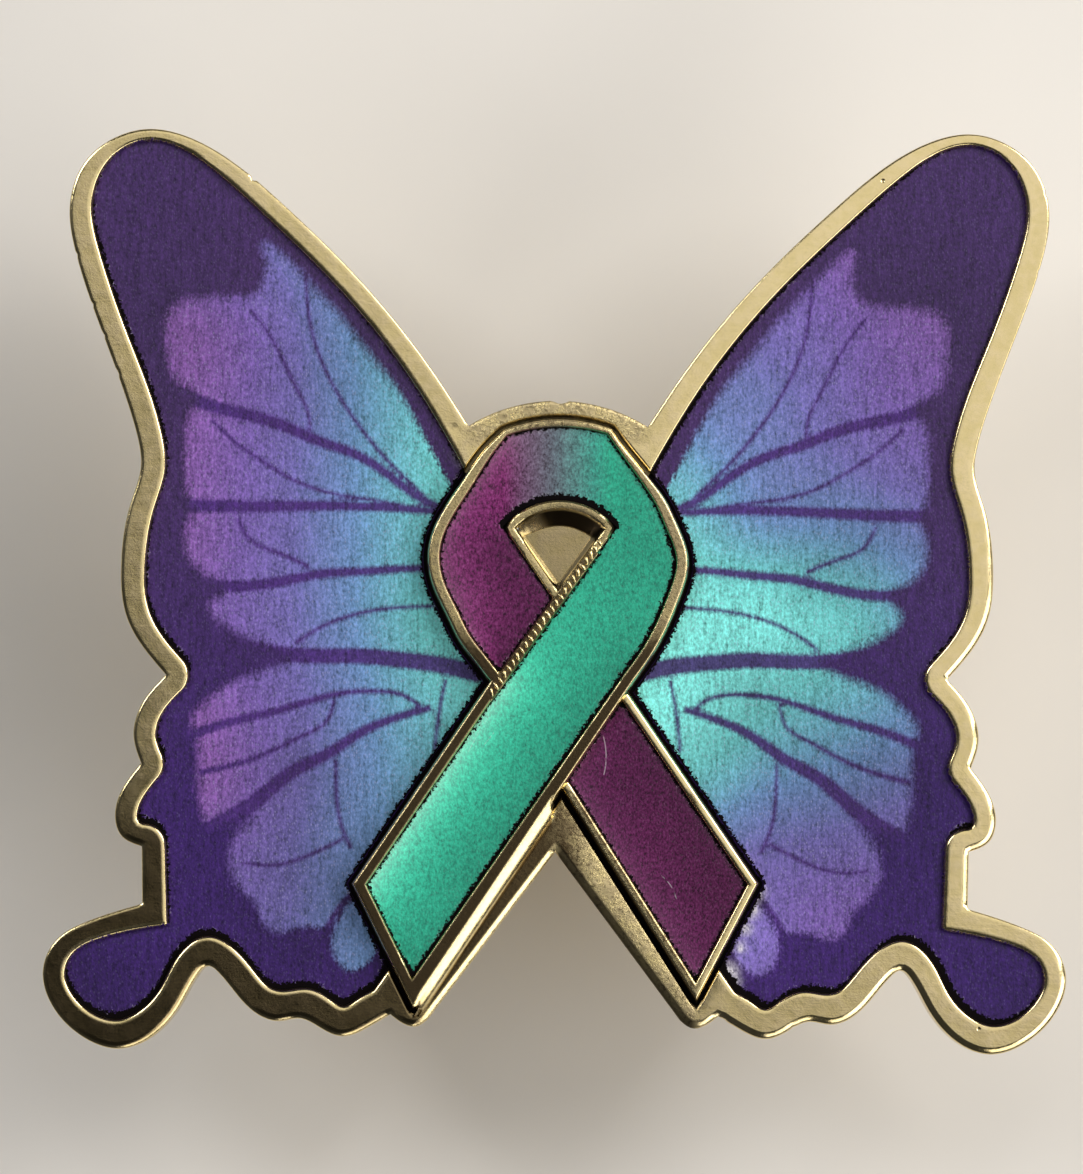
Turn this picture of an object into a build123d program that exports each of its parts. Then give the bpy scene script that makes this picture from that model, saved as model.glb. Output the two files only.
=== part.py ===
from build123d import *
import os

# An awareness ribbon on a swallowtail butterfly: a die-cast lapel pin with raised metal rims,
# colour fields in its recesses, one soldered post and a round clutch on the post.
# All lengths are in millimetres. The pin lies face up on its clutch: +X is right and +Y is up
# in the design, +Z faces the viewer, and the origin is on the surface below the middle.

# Outline of the butterfly
PIN_WIDTH = 38.1
PIN_HEIGHT = 34.4

# Casting, as heights above the floor of the wing recesses
FLOOR_THICKNESS = 1.3
RIM_HEIGHT = 0.5
FRONT_BAND_HEIGHT = 1.15
BACK_BAND_HEIGHT = 0.85
EDGE_BEVEL = 0.16

# Widths of the raised metal lines
RIM_WIDTH = 0.84
BAND_RIM_WIDTH = 0.43
WINDOW_RIM_WIDTH = 0.34
CROSSING_LINE_WIDTH = 0.4

# A narrow groove follows the foot of the ribbon all the way round
GROOVE_WIDTH = 0.2

# Depths below the top of the front band
BAND_FIELD_DEPTH = 0.42
WINDOW_DEPTH = 0.8

# The blocks that cut the recesses stand this far above the highest metal
OVERCUT = 1.0

# Colour fields
WING_FILL_THICKNESS = 0.22
BAND_FILL_THICKNESS = 0.24
FILL_GAP = 0.03

# Soldered post and its round clutch
POST_RADIUS = 0.57
POST_LENGTH = 8.0
POST_TIP_LENGTH = 1.1
POST_TIP_RADIUS = 0.16
POST_FOOT_RADIUS = 1.7
POST_FOOT_THICKNESS = 0.35
POST_UP = -1.5
CLUTCH_RADIUS = 5.0
CLUTCH_HEIGHT = 5.9
CLUTCH_COLLAR_RADIUS = 3.1
CLUTCH_COLLAR_HEIGHT = 1.2
CLUTCH_FLOOR = 0.8
CLUTCH_ROUNDING = 0.9
BORE_CLEARANCE = 0.05
TIP_CLEARANCE = 0.3

# Outline tables. Each row is a point of the edge: its place across, as a share of half the width
# from the middle line, and its place up, as a share of the height from the lowest edge.
# A stretch of two rows is a straight line, of three an arc, of more a smooth curve, and the
# edge turns a corner where two stretches meet. All of them run clockwise.
DOME = [(-0.176, 0.678), (0.0, 0.706), (0.176, 0.678)]

# The third column is the rim's width at that point, as a share of RIM_WIDTH
RIGHT_EDGE = {
    "fore wing": [
        (0.176, 0.678, 1.10), (0.236, 0.729, 1.02), (0.425, 0.856, 0.94), (0.542, 0.918, 0.92),
        (0.660, 0.971, 0.78), (0.738, 0.993, 0.58), (0.807, 1.000, 0.50), (0.876, 0.990, 0.60),
        (0.934, 0.963, 0.85), (0.963, 0.911, 1.00), (0.950, 0.864, 1.05), (0.920, 0.812, 1.05),
        (0.881, 0.755, 1.05), (0.848, 0.705, 1.10), (0.825, 0.663, 1.10), (0.818, 0.632, 1.10),
        (0.837, 0.592, 1.08), (0.855, 0.520, 1.08), (0.842, 0.466, 1.05), (0.805, 0.431, 1.00),
        (0.765, 0.405, 1.00),
    ],
    "waist": [(0.765, 0.405, 1.00), (0.810, 0.375, 1.00), (0.827, 0.337, 1.00), (0.812, 0.309, 1.00)],
    "hind lobe": [
        (0.812, 0.309, 1.00), (0.848, 0.281, 1.00), (0.862, 0.252, 1.00), (0.849, 0.230, 1.00),
        (0.809, 0.219, 1.00),
    ],
    "step": [(0.809, 0.219, 1.05), (0.807, 0.157, 1.10)],
    "tail": [
        (0.807, 0.157, 1.10), (0.912, 0.138, 0.92), (0.976, 0.116, 0.95), (1.000, 0.084, 0.98),
        (0.983, 0.048, 1.02), (0.922, 0.013, 1.12), (0.850, 0.000, 1.28), (0.789, 0.012, 1.26),
        (0.729, 0.049, 1.15), (0.700, 0.078, 1.20), (0.677, 0.090, 1.32), (0.653, 0.081, 1.25),
        (0.620, 0.059, 1.25), (0.582, 0.039, 1.30), (0.537, 0.031, 1.35), (0.497, 0.034, 1.35),
        (0.460, 0.025, 1.32), (0.414, 0.015, 1.32), (0.360, 0.026, 1.32), (0.320, 0.039, 1.30),
    ],
    "leg tip": [(0.320, 0.039, 1.30), (0.298, 0.030, 1.00), (0.270, 0.026, 1.00), (0.247, 0.034, 1.00)],
    "vee": [(0.247, 0.034, 1.00), (0.0, 0.216, 1.00)],
}

# Where the wing recess's edge turns with a round corner, of the rim's own width
ROUND_CORNERS_AFTER = ("fore wing", "waist", "hind lobe")

# The recess's upper edge runs on under the ribbon by this much, past the corner of the dome
RECESS_REACH = 2.2

# Points under the ribbon that close the right wing's recess where nothing of it shows
RIGHT_RECESS_CLOSE = [(0.27, 0.13), (0.20, 0.24), (0.08, 0.36), (0.08, 0.58)]

# The third column is the rim's width at that point, as a share of BAND_RIM_WIDTH
FRONT_BAND = {
    "left leg": [(-0.395, 0.180, 1.00), (-0.129, 0.400, 1.00)],
    "loop left": [
        (-0.129, 0.400, 1.00), (-0.166, 0.426, 1.00), (-0.191, 0.445, 1.00), (-0.212, 0.468, 1.00),
        (-0.244, 0.506, 1.00), (-0.252, 0.528, 1.00), (-0.250, 0.549, 1.00), (-0.227, 0.582, 1.00),
        (-0.190, 0.614, 0.95), (-0.139, 0.654, 0.75), (-0.106, 0.672, 0.50),
    ],
    "loop top": [(-0.106, 0.672, 0.50), (-0.004, 0.684, 0.60), (0.104, 0.674, 0.50)],
    "loop right": [
        (0.104, 0.674, 0.50), (0.119, 0.662, 0.50), (0.149, 0.641, 0.60), (0.182, 0.619, 0.75),
        (0.210, 0.598, 0.90), (0.234, 0.571, 1.00), (0.250, 0.549, 1.00), (0.256, 0.531, 1.00),
        (0.252, 0.513, 1.00), (0.239, 0.491, 1.00), (0.212, 0.455, 1.00), (0.185, 0.428, 1.00),
        (0.152, 0.402, 1.00),
    ],
    "right edge": [(0.152, 0.402, 1.00), (-0.275, 0.047, 1.00)],
    "end": [(-0.275, 0.047, 1.00), (-0.395, 0.180, 1.00)],
}

BACK_BAND = {
    "right edge": [(0.134, 0.393), (0.396, 0.183)],
    "end": [(0.396, 0.183), (0.277, 0.056)],
    "left edge": [(0.277, 0.056), (0.0, 0.295)],
    "crossing": [(0.0, 0.295), (0.066, 0.365)],
    "under the front band": [(0.066, 0.365), (0.134, 0.393)],
}

WINDOW = {
    "top": [(-0.082, 0.566), (0.004, 0.586), (0.091, 0.566)],
    "right": [(0.091, 0.566), (0.002, 0.499)],
    "left": [(0.002, 0.499), (-0.082, 0.566)],
}

# The ends of the metal line where the front band crosses over the loop's left end
CROSSING_LINE_TOP = (0.072, 0.542)
CROSSING_LINE_FOOT = (-0.134, 0.382)

# Heights in the pin's frame
CLOTH_GAP = POST_LENGTH - (CLUTCH_HEIGHT - CLUTCH_FLOOR - TIP_CLEARANCE)
PLATE_BACK = CLUTCH_HEIGHT + CLOTH_GAP
WING_FLOOR = PLATE_BACK + FLOOR_THICKNESS
RIM_TOP = WING_FLOOR + RIM_HEIGHT
FRONT_TOP = WING_FLOOR + FRONT_BAND_HEIGHT
BACK_TOP = WING_FLOOR + BACK_BAND_HEIGHT
FRONT_FIELD_FLOOR = FRONT_TOP - BAND_FIELD_DEPTH
BACK_FIELD_FLOOR = BACK_TOP - BAND_FIELD_DEPTH
WINDOW_FLOOR = FRONT_TOP - WINDOW_DEPTH
ABOVE_ALL = FRONT_TOP + OVERCUT


def place(row):
    """A table row as a point of the pin."""
    across, up = row[:2]
    return Vector(across * PIN_WIDTH / 2, (up - 0.5) * PIN_HEIGHT)


def placed(table):
    """The stretches of a table as lists of points."""
    return [[place(row) for row in rows] for rows in table.values()]


def mirrored(stretches):
    """The same stretches on the other side of the middle line, still clockwise."""
    return [[Vector(-point.X, point.Y) for point in reversed(points)] for points in reversed(stretches)]


def directions(points):
    """The direction of travel at each point: that of the circle through it and its neighbours."""
    chords = [after - before for before, after in zip(points, points[1:])]
    if len(chords) == 1:
        return [chords[0].normalized()] * 2
    inner = [
        (before / before.length**2 + after / after.length**2).normalized()
        for before, after in zip(chords, chords[1:])
    ]
    first = chords[0].normalized() * 2 * chords[0].normalized().dot(inner[0]) - inner[0]
    last = chords[-1].normalized() * 2 * chords[-1].normalized().dot(inner[-1]) - inner[-1]
    return [first] + inner + [last]


def inward(direction):
    """The unit vector to the right of a direction of travel, which is into the metal."""
    return Vector(direction.Y, -direction.X)


def inset(stretches, distance):
    """A closed outline moved inward, mitred at its corners; outward if negative.

    The distance is one number, or a list for each stretch with a number for each of its points.
    """
    if not isinstance(distance, list):
        distance = [[distance] * len(points) for points in stretches]
    normals = [[inward(direction) for direction in directions(points)] for points in stretches]
    moved = [
        [point + normal * width for point, normal, width in zip(points, sides, widths)]
        for points, sides, widths in zip(stretches, normals, distance)
    ]
    for index, points in enumerate(stretches):
        ending, starting = normals[index - 1][-1], normals[index][0]
        corner = points[0] + (ending + starting) * (distance[index][0] / (1 + ending.dot(starting)))
        moved[index - 1][-1] = corner
        moved[index][0] = corner
    return moved


def stretch_edge(points):
    """One edge through the points of a stretch."""
    if len(points) == 2:
        return Line(*points)
    if len(points) == 3:
        return ThreePointArc(*points)
    return Spline(*points)


def outline_face(stretches, height=0.0):
    """The flat face inside a closed outline, at a height."""
    return Pos(0, 0, height) * make_face([stretch_edge(points) for points in stretches])


def block(stretches, bottom, top):
    """The solid above an outline, between two heights."""
    return extrude(outline_face(stretches, bottom), amount=top - bottom)


def bevelled_block(stretches, bottom, top):
    """A block whose upper edge is bevelled all the way round."""
    shoulder = top - EDGE_BEVEL
    crown = loft([outline_face(stretches, shoulder), outline_face(inset(stretches, EDGE_BEVEL), top)], ruled=True)
    return block(stretches, bottom, shoulder) + crown


def wing_recess_outline(gap=0.0):
    """The right wing's recess, smaller by a gap: the wing's edge moved in by the rim's own width."""
    shown = list(RIGHT_EDGE)[:list(RIGHT_EDGE).index("leg tip")]
    outline = []
    for name in shown:
        points = [place(row) for row in RIGHT_EDGE[name]]
        widths = [row[2] * RIM_WIDTH + gap for row in RIGHT_EDGE[name]]
        normals = [inward(direction) for direction in directions(points)]
        moved = [point + normal * width for point, normal, width in zip(points, normals, widths)]
        if name == shown[0]:
            moved[0] -= directions(moved)[0] * RECESS_REACH
        elif before in ROUND_CORNERS_AFTER:
            middle = points[0] + (ending + normals[0]).normalized() * widths[0]
            outline.append([outline[-1][-1], middle, moved[0]])
        else:
            moved[0] = points[0] + (ending + normals[0]) * (widths[0] / (1 + ending.dot(normals[0])))
            outline[-1][-1] = moved[0]
        outline.append(moved)
        before, ending = name, normals[-1]
    hidden = [outline[-1][-1]] + [place(row) for row in RIGHT_RECESS_CLOSE] + [outline[0][0]]
    return outline + [list(pair) for pair in zip(hidden, hidden[1:])]


def plate_outline():
    """The butterfly's whole edge."""
    right = placed(RIGHT_EDGE)
    return [[place(row) for row in DOME]] + right + mirrored(right)


def crossing_line(extra=0.0):
    """The raised line along the front band's left edge, larger on all sides by an extra amount."""
    top, foot = place(CROSSING_LINE_TOP), place(CROSSING_LINE_FOOT)
    along = (foot - top).normalized()
    side = inward(along) * (CROSSING_LINE_WIDTH / 2 + extra)
    top, foot = top - along * extra, foot + along * extra
    corners = [top - side, top + side, foot + side, foot - side]
    return [list(pair) for pair in zip(corners, corners[1:] + corners[:1])]


def front_field(gap, bottom, top):
    """The colour field of the loop and the front leg, smaller by a gap, between two heights."""
    widths = [[row[2] * BAND_RIM_WIDTH + gap for row in rows] for rows in FRONT_BAND.values()]
    whole = block(inset(placed(FRONT_BAND), widths), bottom, top)
    window = block(inset(placed(WINDOW), -WINDOW_RIM_WIDTH - gap), bottom, top)
    return whole - window - block(crossing_line(gap), bottom, top)


def back_field(gap, bottom, top):
    """The colour field of the leg that runs under the front band, between two heights."""
    whole = block(inset(placed(BACK_BAND), BAND_RIM_WIDTH + gap), bottom, top)
    return whole - block(inset(placed(FRONT_BAND), -gap), bottom, top)


def post():
    """The straight post with its soldered foot and its point, below the plate."""
    shank = POST_LENGTH - POST_TIP_LENGTH
    foot = Cylinder(POST_FOOT_RADIUS, POST_FOOT_THICKNESS, align=(Align.CENTER, Align.CENTER, Align.MAX))
    rod = Cylinder(POST_RADIUS, shank, align=(Align.CENTER, Align.CENTER, Align.MAX))
    tip = Cone(POST_TIP_RADIUS, POST_RADIUS, POST_TIP_LENGTH, align=(Align.CENTER, Align.CENTER, Align.MAX))
    return Pos(0, POST_UP, PLATE_BACK) * (foot + rod + Pos(0, 0, -shank) * tip)


def cast_plate():
    """The whole metal casting: plate, rims and ribbon, with the post soldered to its back."""
    plate = bevelled_block(plate_outline(), PLATE_BACK, RIM_TOP)
    recess = wing_recess_outline()
    for wing in (recess, mirrored(recess)):
        plate -= block(wing, WING_FLOOR, ABOVE_ALL)
    for band in (BACK_BAND, FRONT_BAND):
        plate -= block(inset(placed(band), -GROOVE_WIDTH), WING_FLOOR, ABOVE_ALL)
    for band, top in ((BACK_BAND, BACK_TOP), (FRONT_BAND, FRONT_TOP)):
        plate += bevelled_block(placed(band), WING_FLOOR - FLOOR_THICKNESS / 2, top)
    plate -= front_field(0.0, FRONT_FIELD_FLOOR, ABOVE_ALL)
    plate -= back_field(0.0, BACK_FIELD_FLOOR, ABOVE_ALL)
    plate -= block(placed(WINDOW), WINDOW_FLOOR, ABOVE_ALL)
    return plate + post()


def wing_fills():
    """The colour fields of the left and the right wing, clear of the ribbon's groove."""
    bottom = WING_FLOOR + FILL_GAP
    top = bottom + WING_FILL_THICKNESS
    right = block(wing_recess_outline(FILL_GAP), bottom, top)
    left = block(mirrored(wing_recess_outline(FILL_GAP)), bottom, top)
    fills = []
    for wing in (left, right):
        for band in (FRONT_BAND, BACK_BAND):
            wing -= block(inset(placed(band), -GROOVE_WIDTH - FILL_GAP), bottom, top)
        fills.append(wing.solids().sort_by(SortBy.VOLUME)[-1])
    return fills


def clutch():
    """The round clutch: a plain body with a collar above and a blind bore for the post."""
    low = (Align.CENTER, Align.CENTER, Align.MIN)
    body_height = CLUTCH_HEIGHT - CLUTCH_COLLAR_HEIGHT
    body = Cylinder(CLUTCH_RADIUS, body_height, align=low)
    body = fillet(body.edges().filter_by(GeomType.CIRCLE).sort_by(Axis.Z)[-1], CLUTCH_ROUNDING)
    collar = Pos(0, 0, body_height) * Cylinder(CLUTCH_COLLAR_RADIUS, CLUTCH_COLLAR_HEIGHT, align=low)
    bore_depth = CLUTCH_HEIGHT - CLUTCH_FLOOR
    bore = Pos(0, 0, CLUTCH_FLOOR) * Cylinder(POST_RADIUS + BORE_CLEARANCE, bore_depth, align=low)
    return Pos(0, POST_UP, 0) * (body + collar - bore)


def write(name, shape):
    """Saves one sub-part under its node name."""
    solid = shape.solid() if len(shape.solids()) == 1 else Compound(shape.solids())
    solid.label = name
    export_step(solid, f"parts/{name}.step")


os.makedirs("parts", exist_ok=True)
left_wing, right_wing = wing_fills()
write("cast_plate", cast_plate())
write("left_wing_fill", left_wing)
write("right_wing_fill", right_wing)
write("ribbon_loop_fill", front_field(
    FILL_GAP, FRONT_FIELD_FLOOR + FILL_GAP, FRONT_FIELD_FLOOR + FILL_GAP + BAND_FILL_THICKNESS))
write("ribbon_leg_fill", back_field(
    FILL_GAP, BACK_FIELD_FLOOR + FILL_GAP, BACK_FIELD_FLOOR + FILL_GAP + BAND_FILL_THICKNESS))
write("clutch", clutch())
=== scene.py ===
"""Looks of an awareness ribbon lapel pin: plated casting, printed wings, enamelled ribbon, clutch."""

import math
from types import SimpleNamespace

import bmesh
import bpy
import numpy as np
from bpy.props import FloatProperty, FloatVectorProperty, IntProperty, PointerProperty
from mathutils import Matrix, Quaternion, Vector
from mathutils.bvhtree import BVHTree
from mathutils.geometry import delaunay_2d_cdt


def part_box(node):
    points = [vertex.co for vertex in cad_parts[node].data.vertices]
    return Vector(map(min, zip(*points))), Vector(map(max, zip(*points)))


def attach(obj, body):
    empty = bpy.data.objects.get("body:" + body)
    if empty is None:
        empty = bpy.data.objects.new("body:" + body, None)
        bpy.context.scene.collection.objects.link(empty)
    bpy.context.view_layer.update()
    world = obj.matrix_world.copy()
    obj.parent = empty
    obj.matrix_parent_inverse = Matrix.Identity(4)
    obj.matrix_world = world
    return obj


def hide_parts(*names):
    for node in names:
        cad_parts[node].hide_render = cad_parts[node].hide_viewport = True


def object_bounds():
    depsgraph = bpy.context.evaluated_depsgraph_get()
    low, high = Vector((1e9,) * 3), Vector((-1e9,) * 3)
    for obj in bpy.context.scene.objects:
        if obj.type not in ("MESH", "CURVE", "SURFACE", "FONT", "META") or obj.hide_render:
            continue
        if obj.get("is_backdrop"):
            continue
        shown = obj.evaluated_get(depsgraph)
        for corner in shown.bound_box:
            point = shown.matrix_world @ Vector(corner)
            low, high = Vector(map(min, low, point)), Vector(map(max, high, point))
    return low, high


bl_info = {
    "name": "Awareness ribbon pin",
    "version": (1, 0, 0),
    "blender": (4, 5, 0),
    "location": "3D View > Sidebar > Ribbon Pin",
    "description": "Builds the plated casting, colour fields and clutch of an awareness ribbon lapel pin",
    "category": "Object",
}

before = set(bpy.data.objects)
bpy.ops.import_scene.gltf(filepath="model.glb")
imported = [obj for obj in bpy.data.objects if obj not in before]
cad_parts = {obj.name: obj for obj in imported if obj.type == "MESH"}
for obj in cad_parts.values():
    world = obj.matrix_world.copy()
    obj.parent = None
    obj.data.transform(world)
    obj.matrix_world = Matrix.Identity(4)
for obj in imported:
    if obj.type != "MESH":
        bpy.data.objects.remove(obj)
CAD_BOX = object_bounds()

# One millimetre in metres. The outlines below are worked out in millimetres
MM = 0.001

# Pixel size of the picture and how many of its pixels make one millimetre of the pin
PICTURE_WIDTH = 1083
PICTURE_SCALE = 26.78

# The colour fields stand this far off the metal, in mm
FILL_GAP = 0.03

# Outline tables, as in the solids, in thousandths of half the width from the middle line and of the
# height from the lowest edge. Two rows are a line, three an arc, more a smooth curve; all run
# clockwise. A third column is the rim's width there, in hundredths of its usual one.
DOME = [(-176, 678), (0, 706), (176, 678)]
RIGHT_EDGE = {
    "fore wing": [
        (176, 678, 110), (236, 729, 102), (425, 856, 94), (542, 918, 92), (660, 971, 78), (738, 993, 58),
        (807, 1000, 50), (876, 990, 60), (934, 963, 85), (963, 911), (950, 864, 105), (920, 812, 105),
        (881, 755, 105), (848, 705, 110), (825, 663, 110), (818, 632, 110), (837, 592, 108),
        (855, 520, 108), (842, 466, 105), (805, 431), (765, 405),
    ],
    "waist": [(765, 405), (810, 375), (827, 337), (812, 309)],
    "hind lobe": [(812, 309), (848, 281), (862, 252), (849, 230), (809, 219)],
    "step": [(809, 219, 105), (807, 157, 110)],
    "tail": [
        (807, 157, 110), (912, 138, 92), (976, 116, 95), (1000, 84, 98), (983, 48, 102), (922, 13, 112),
        (850, 0, 128), (789, 12, 126), (729, 49, 115), (700, 78, 120), (677, 90, 132), (653, 81, 125),
        (620, 59, 125), (582, 39, 130), (537, 31, 135), (497, 34, 135), (460, 25, 132), (414, 15, 132),
        (360, 26, 132), (320, 39, 130),
    ],
    "leg tip": [(320, 39, 130), (298, 30), (270, 26), (247, 34)],
    "vee": [(247, 34), (0, 216)],
}
ROUND_CORNERS_AFTER = ("fore wing", "waist", "hind lobe")
RIGHT_RECESS_CLOSE = [(270, 130), (200, 240), (80, 360), (80, 580)]

# The recess's upper edge runs on under the ribbon by this many mm
RECESS_REACH = 2.2

FRONT_BAND = {
    "left leg": [(-395, 180), (-129, 400)],
    "loop left": [
        (-129, 400), (-166, 426), (-191, 445), (-212, 468), (-244, 506), (-252, 528), (-250, 549),
        (-227, 582), (-190, 614, 95), (-139, 654, 75), (-106, 672, 50),
    ],
    "loop top": [(-106, 672, 50), (-4, 684, 60), (104, 674, 50)],
    "loop right": [
        (104, 674, 50), (119, 662, 50), (149, 641, 60), (182, 619, 75), (210, 598, 90), (234, 571),
        (250, 549), (256, 531), (252, 513), (239, 491), (212, 455), (185, 428), (152, 402),
    ],
    "right edge": [(152, 402), (-275, 47, 145)],
    "end": [(-275, 47), (-395, 180)],
}
BACK_BAND = {
    "right edge": [(134, 393), (396, 183)],
    "end": [(396, 183), (277, 56)],
    "left edge": [(277, 56), (0, 295)],
    "crossing": [(0, 295), (66, 365)],
    "under the front band": [(66, 365), (134, 393)],
}
WINDOW = {
    "top": [(-82, 566), (4, 586), (91, 566)],
    "right": [(91, 566), (2, 499)],
    "left": [(2, 499), (-82, 566)],
}
POCKET_FLOOR = {
    "top": [(-62, 559), (-9, 569), (26, 568), (66, 558)],
    "right": [(66, 558), (3.5, 508)],
    "left": [(3.5, 508), (-62, 559)],
}
CROSSING_LINE = [(72, 542), (-134, 382)]

# The printed veins of one wing: width in mm at the outer end and at the inner end, then the line
VEINS = [
    (0.5, 0.3, [
        (740, 711), (701, 702), (622, 690), (538, 677), (481, 663), (408, 649), (341, 628), (266, 598),
        (227, 588),
    ]),
    (0.5, 0.28, [(729, 590), (621, 589), (509, 590), (395, 590), (284, 587), (227, 585)]),
    (0.46, 0.28, [(716, 505), (616, 502), (538, 508), (451, 517), (385, 519), (312, 522), (252, 523)]),
    (0.52, 0.66, [(682, 444), (590, 433), (484, 427), (384, 427), (284, 422), (217, 417), (158, 409)]),
    (0.38, 0.14, [
        (714, 340), (642, 354), (548, 367), (483, 378), (417, 387), (350, 389),
        (297, 384), (263, 371),
    ]),
    (0.68, 0.26, [
        (679, 237), (640, 249), (574, 275), (516, 301), (449, 320), (383, 344),
        (316, 360), (250, 371),
    ]),
    (0.1, 0.12, [(604, 802), (566, 774), (539, 746), (511, 715), (491, 691), (487, 669)]),
    (0.1, 0.15, [
        (498, 842), (494, 809), (482, 774), (460, 741), (426, 706), (387, 675), (341, 644), (290, 616),
        (256, 598),
    ]),
    (0.12, 0.13, [(679, 682), (634, 659), (576, 637), (510, 616), (425, 602), (341, 595), (284, 589)]),
    (0.12, 0.16, [(627, 575), (603, 553), (550, 539), (491, 525)]),
    (0.14, 0.14, [(509, 442), (463, 458), (384, 474), (312, 480), (231, 482)]),
    (0.12, 0.22, [(436, 378), (450, 356), (494, 341), (547, 326), (614, 311), (694, 300)]),
    (0.14, 0.14, [(217, 401), (228, 371), (237, 327)]),
    (0.13, 0.13, [(431, 312), (429, 275), (419, 243), (401, 220)]),
    (0.1, 0.14, [(612, 202), (546, 200), (481, 211), (421, 227)]),
    (0.16, 0.26, [(394, 172), (427, 150), (447, 129)]),
]

# The light area of one wing inside its dark border, and the drop below it
LIGHT_AREAS = {
    "cells": [
        (587, 881), (573, 858), (579, 833), (590, 820), (624, 816), (702, 816), (747, 811), (770, 799),
        (770, 770), (764, 739), (740, 721), (709, 714), (703, 703), (726, 688), (730, 661), (729, 613),
        (721, 594), (711, 581), (727, 568), (730, 542), (702, 520), (657, 508), (643, 497), (671, 487),
        (682, 476), (643, 458), (590, 444), (503, 429), (548, 411), (615, 403), (668, 385), (714, 362),
        (706, 347), (698, 331), (700, 298), (694, 265), (683, 243), (666, 241), (576, 258), (619, 236),
        (634, 221), (640, 194), (612, 172), (579, 157), (572, 136), (539, 125), (492, 136), (443, 131),
        (420, 155), (391, 181), (305, 207), (110, 360), (111, 447), (191, 533), (196, 598), (211, 613),
        (261, 663), (313, 716), (370, 753), (427, 796), (500, 837), (540, 862),
    ],
    "drop": [
        (394, 166), (422, 142), (439, 120), (429, 98), (405, 84), (374, 89), (352, 104), (347, 118),
        (359, 135), (375, 151),
    ],
}

# How far the light colour has run from cyan by the ribbon (0) to magenta at the border (100)
LEFT_TINT = [
    (230, 470, 12), (250, 650, 20), (210, 360, 22), (310, 710, 30), (310, 540, 30), (310, 270, 40),
    (430, 760, 48), (410, 540, 47), (400, 390, 50), (400, 270, 50), (390, 120, 48), (420, 200, 52),
    (510, 760, 66), (580, 870, 66), (520, 580, 66), (520, 480, 66), (500, 270, 66), (520, 160, 66),
    (620, 780, 86), (740, 780, 100), (700, 630, 95), (700, 540, 95), (650, 480, 85), (700, 360, 100),
    (680, 280, 100), (620, 210, 80),
]
RIGHT_TINT = [
    (260, 450, 0), (250, 380, 2), (400, 480, 5), (280, 620, 34), (320, 540, 24), (590, 470, 20),
    (420, 540, 30), (630, 540, 42), (320, 680, 54), (400, 590, 50), (400, 710, 58), (570, 620, 60),
    (690, 630, 72), (530, 730, 72), (590, 860, 92), (730, 760, 90), (630, 710, 82), (400, 390, 15),
    (520, 390, 25), (650, 360, 42), (320, 290, 30), (580, 320, 45), (640, 290, 58), (400, 270, 50),
    (520, 240, 64), (360, 210, 66), (580, 190, 80), (480, 140, 82), (400, 120, 74),
]

# The right wing's print is the left one's mirror image, laid on a little askew
RIGHT_PRINT_ACROSS = 0.978
RIGHT_PRINT_SLANT = -0.025
RIGHT_PRINT_SHIFT = (0.21, 0.12)

# How far the print sits to the right of its recess and above it, in mm
PRINT_OFFSET = {"left": (-0.03, 0.18), "right": (0.14, 0.14)}

# Soft darker clouds in the print: across, up, radius in mm, how much darker
PRINT_CLOUDS = [
    (-460, 170, 3.4, 0.34), (-420, 740, 2.8, 0.2), (-200, 440, 2, 0.16), (-760, 780, 2.4, 0.2),
    (-900, 60, 2, 0.3), (360, 380, 2.8, 0.3), (620, 300, 3.2, 0.34), (580, 530, 2.6, 0.26),
    (740, 800, 3, 0.22), (460, 220, 2, 0.14), (900, 60, 2, 0.2), (-500, 300, 2, 0.26), (740, 170, 3, 0.12),
    (390, 120, 1.2, -0.24), (700, 660, 3.6, 0.09), (270, 450, 1.6, 0.13), (-310, 340, 1.8, 0.12),
    (-270, 460, 1.8, 0.14),
]

# Clear whitish residue on the right wing's print and beside the loop: across, up, radius in mm
RESIDUE = [
    (394, 174, 0.27), (384, 154, 0.24), (374, 134, 0.2), (364, 114, 0.16), (339, 87, 0.32),
    (350, 78, 0.22), (-182, 648, 0.28),
]

# Small pits in the casting, and nicks in its outer edge: across, up, half width and depth in mm
PITS = [(-207, 676, 0.07, 0.05), (-890, 600, 0.07, 0.05)]
NICKS = [
    (5, 706, 0.3, 0.11), (-602, 946, 0.13, 0.1), (-946, 862, 0.15, 0.04), (-916, 808, 0.12, 0.045),
    (-893, 774, 0.14, 0.04), (-866, 733, 0.16, 0.045), (955, 935, 0.13, 0.04), (944, 850, 0.12, 0.03),
    (930, 800, 0.1, 0.03), (330, 35, 0.14, 0.04), (470, 28, 0.1, 0.03),
]

# How far in from the edge a nick is felt, in mm
NICK_REACH = 0.4

# Left of the vee the front band has a wide bevel: how far it starts inside the band's edge, how far
# it runs on outside it, and how far it falls, in mm
BEVEL_START = 0.12
BEVEL_REACH = 0.36
BEVEL_FALL = 0.23

# Right of the vee: width of the strip of painted shade beside the ribbon, and width and fall of the outer
# slope, which is painted darker as shade too, in mm
VEE_SHADE = 0.22
VEE_SLOPE = 0.32
VEE_FALL = 0.09

# The vee between the ribbon's legs: how far it reaches to each side in mm, its top in thousandths up,
# and how far the bevel reaches to the left in mm
VEE_HALF = 5.5
VEE_TOP = 285
BEVEL_END = 5.2

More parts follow.
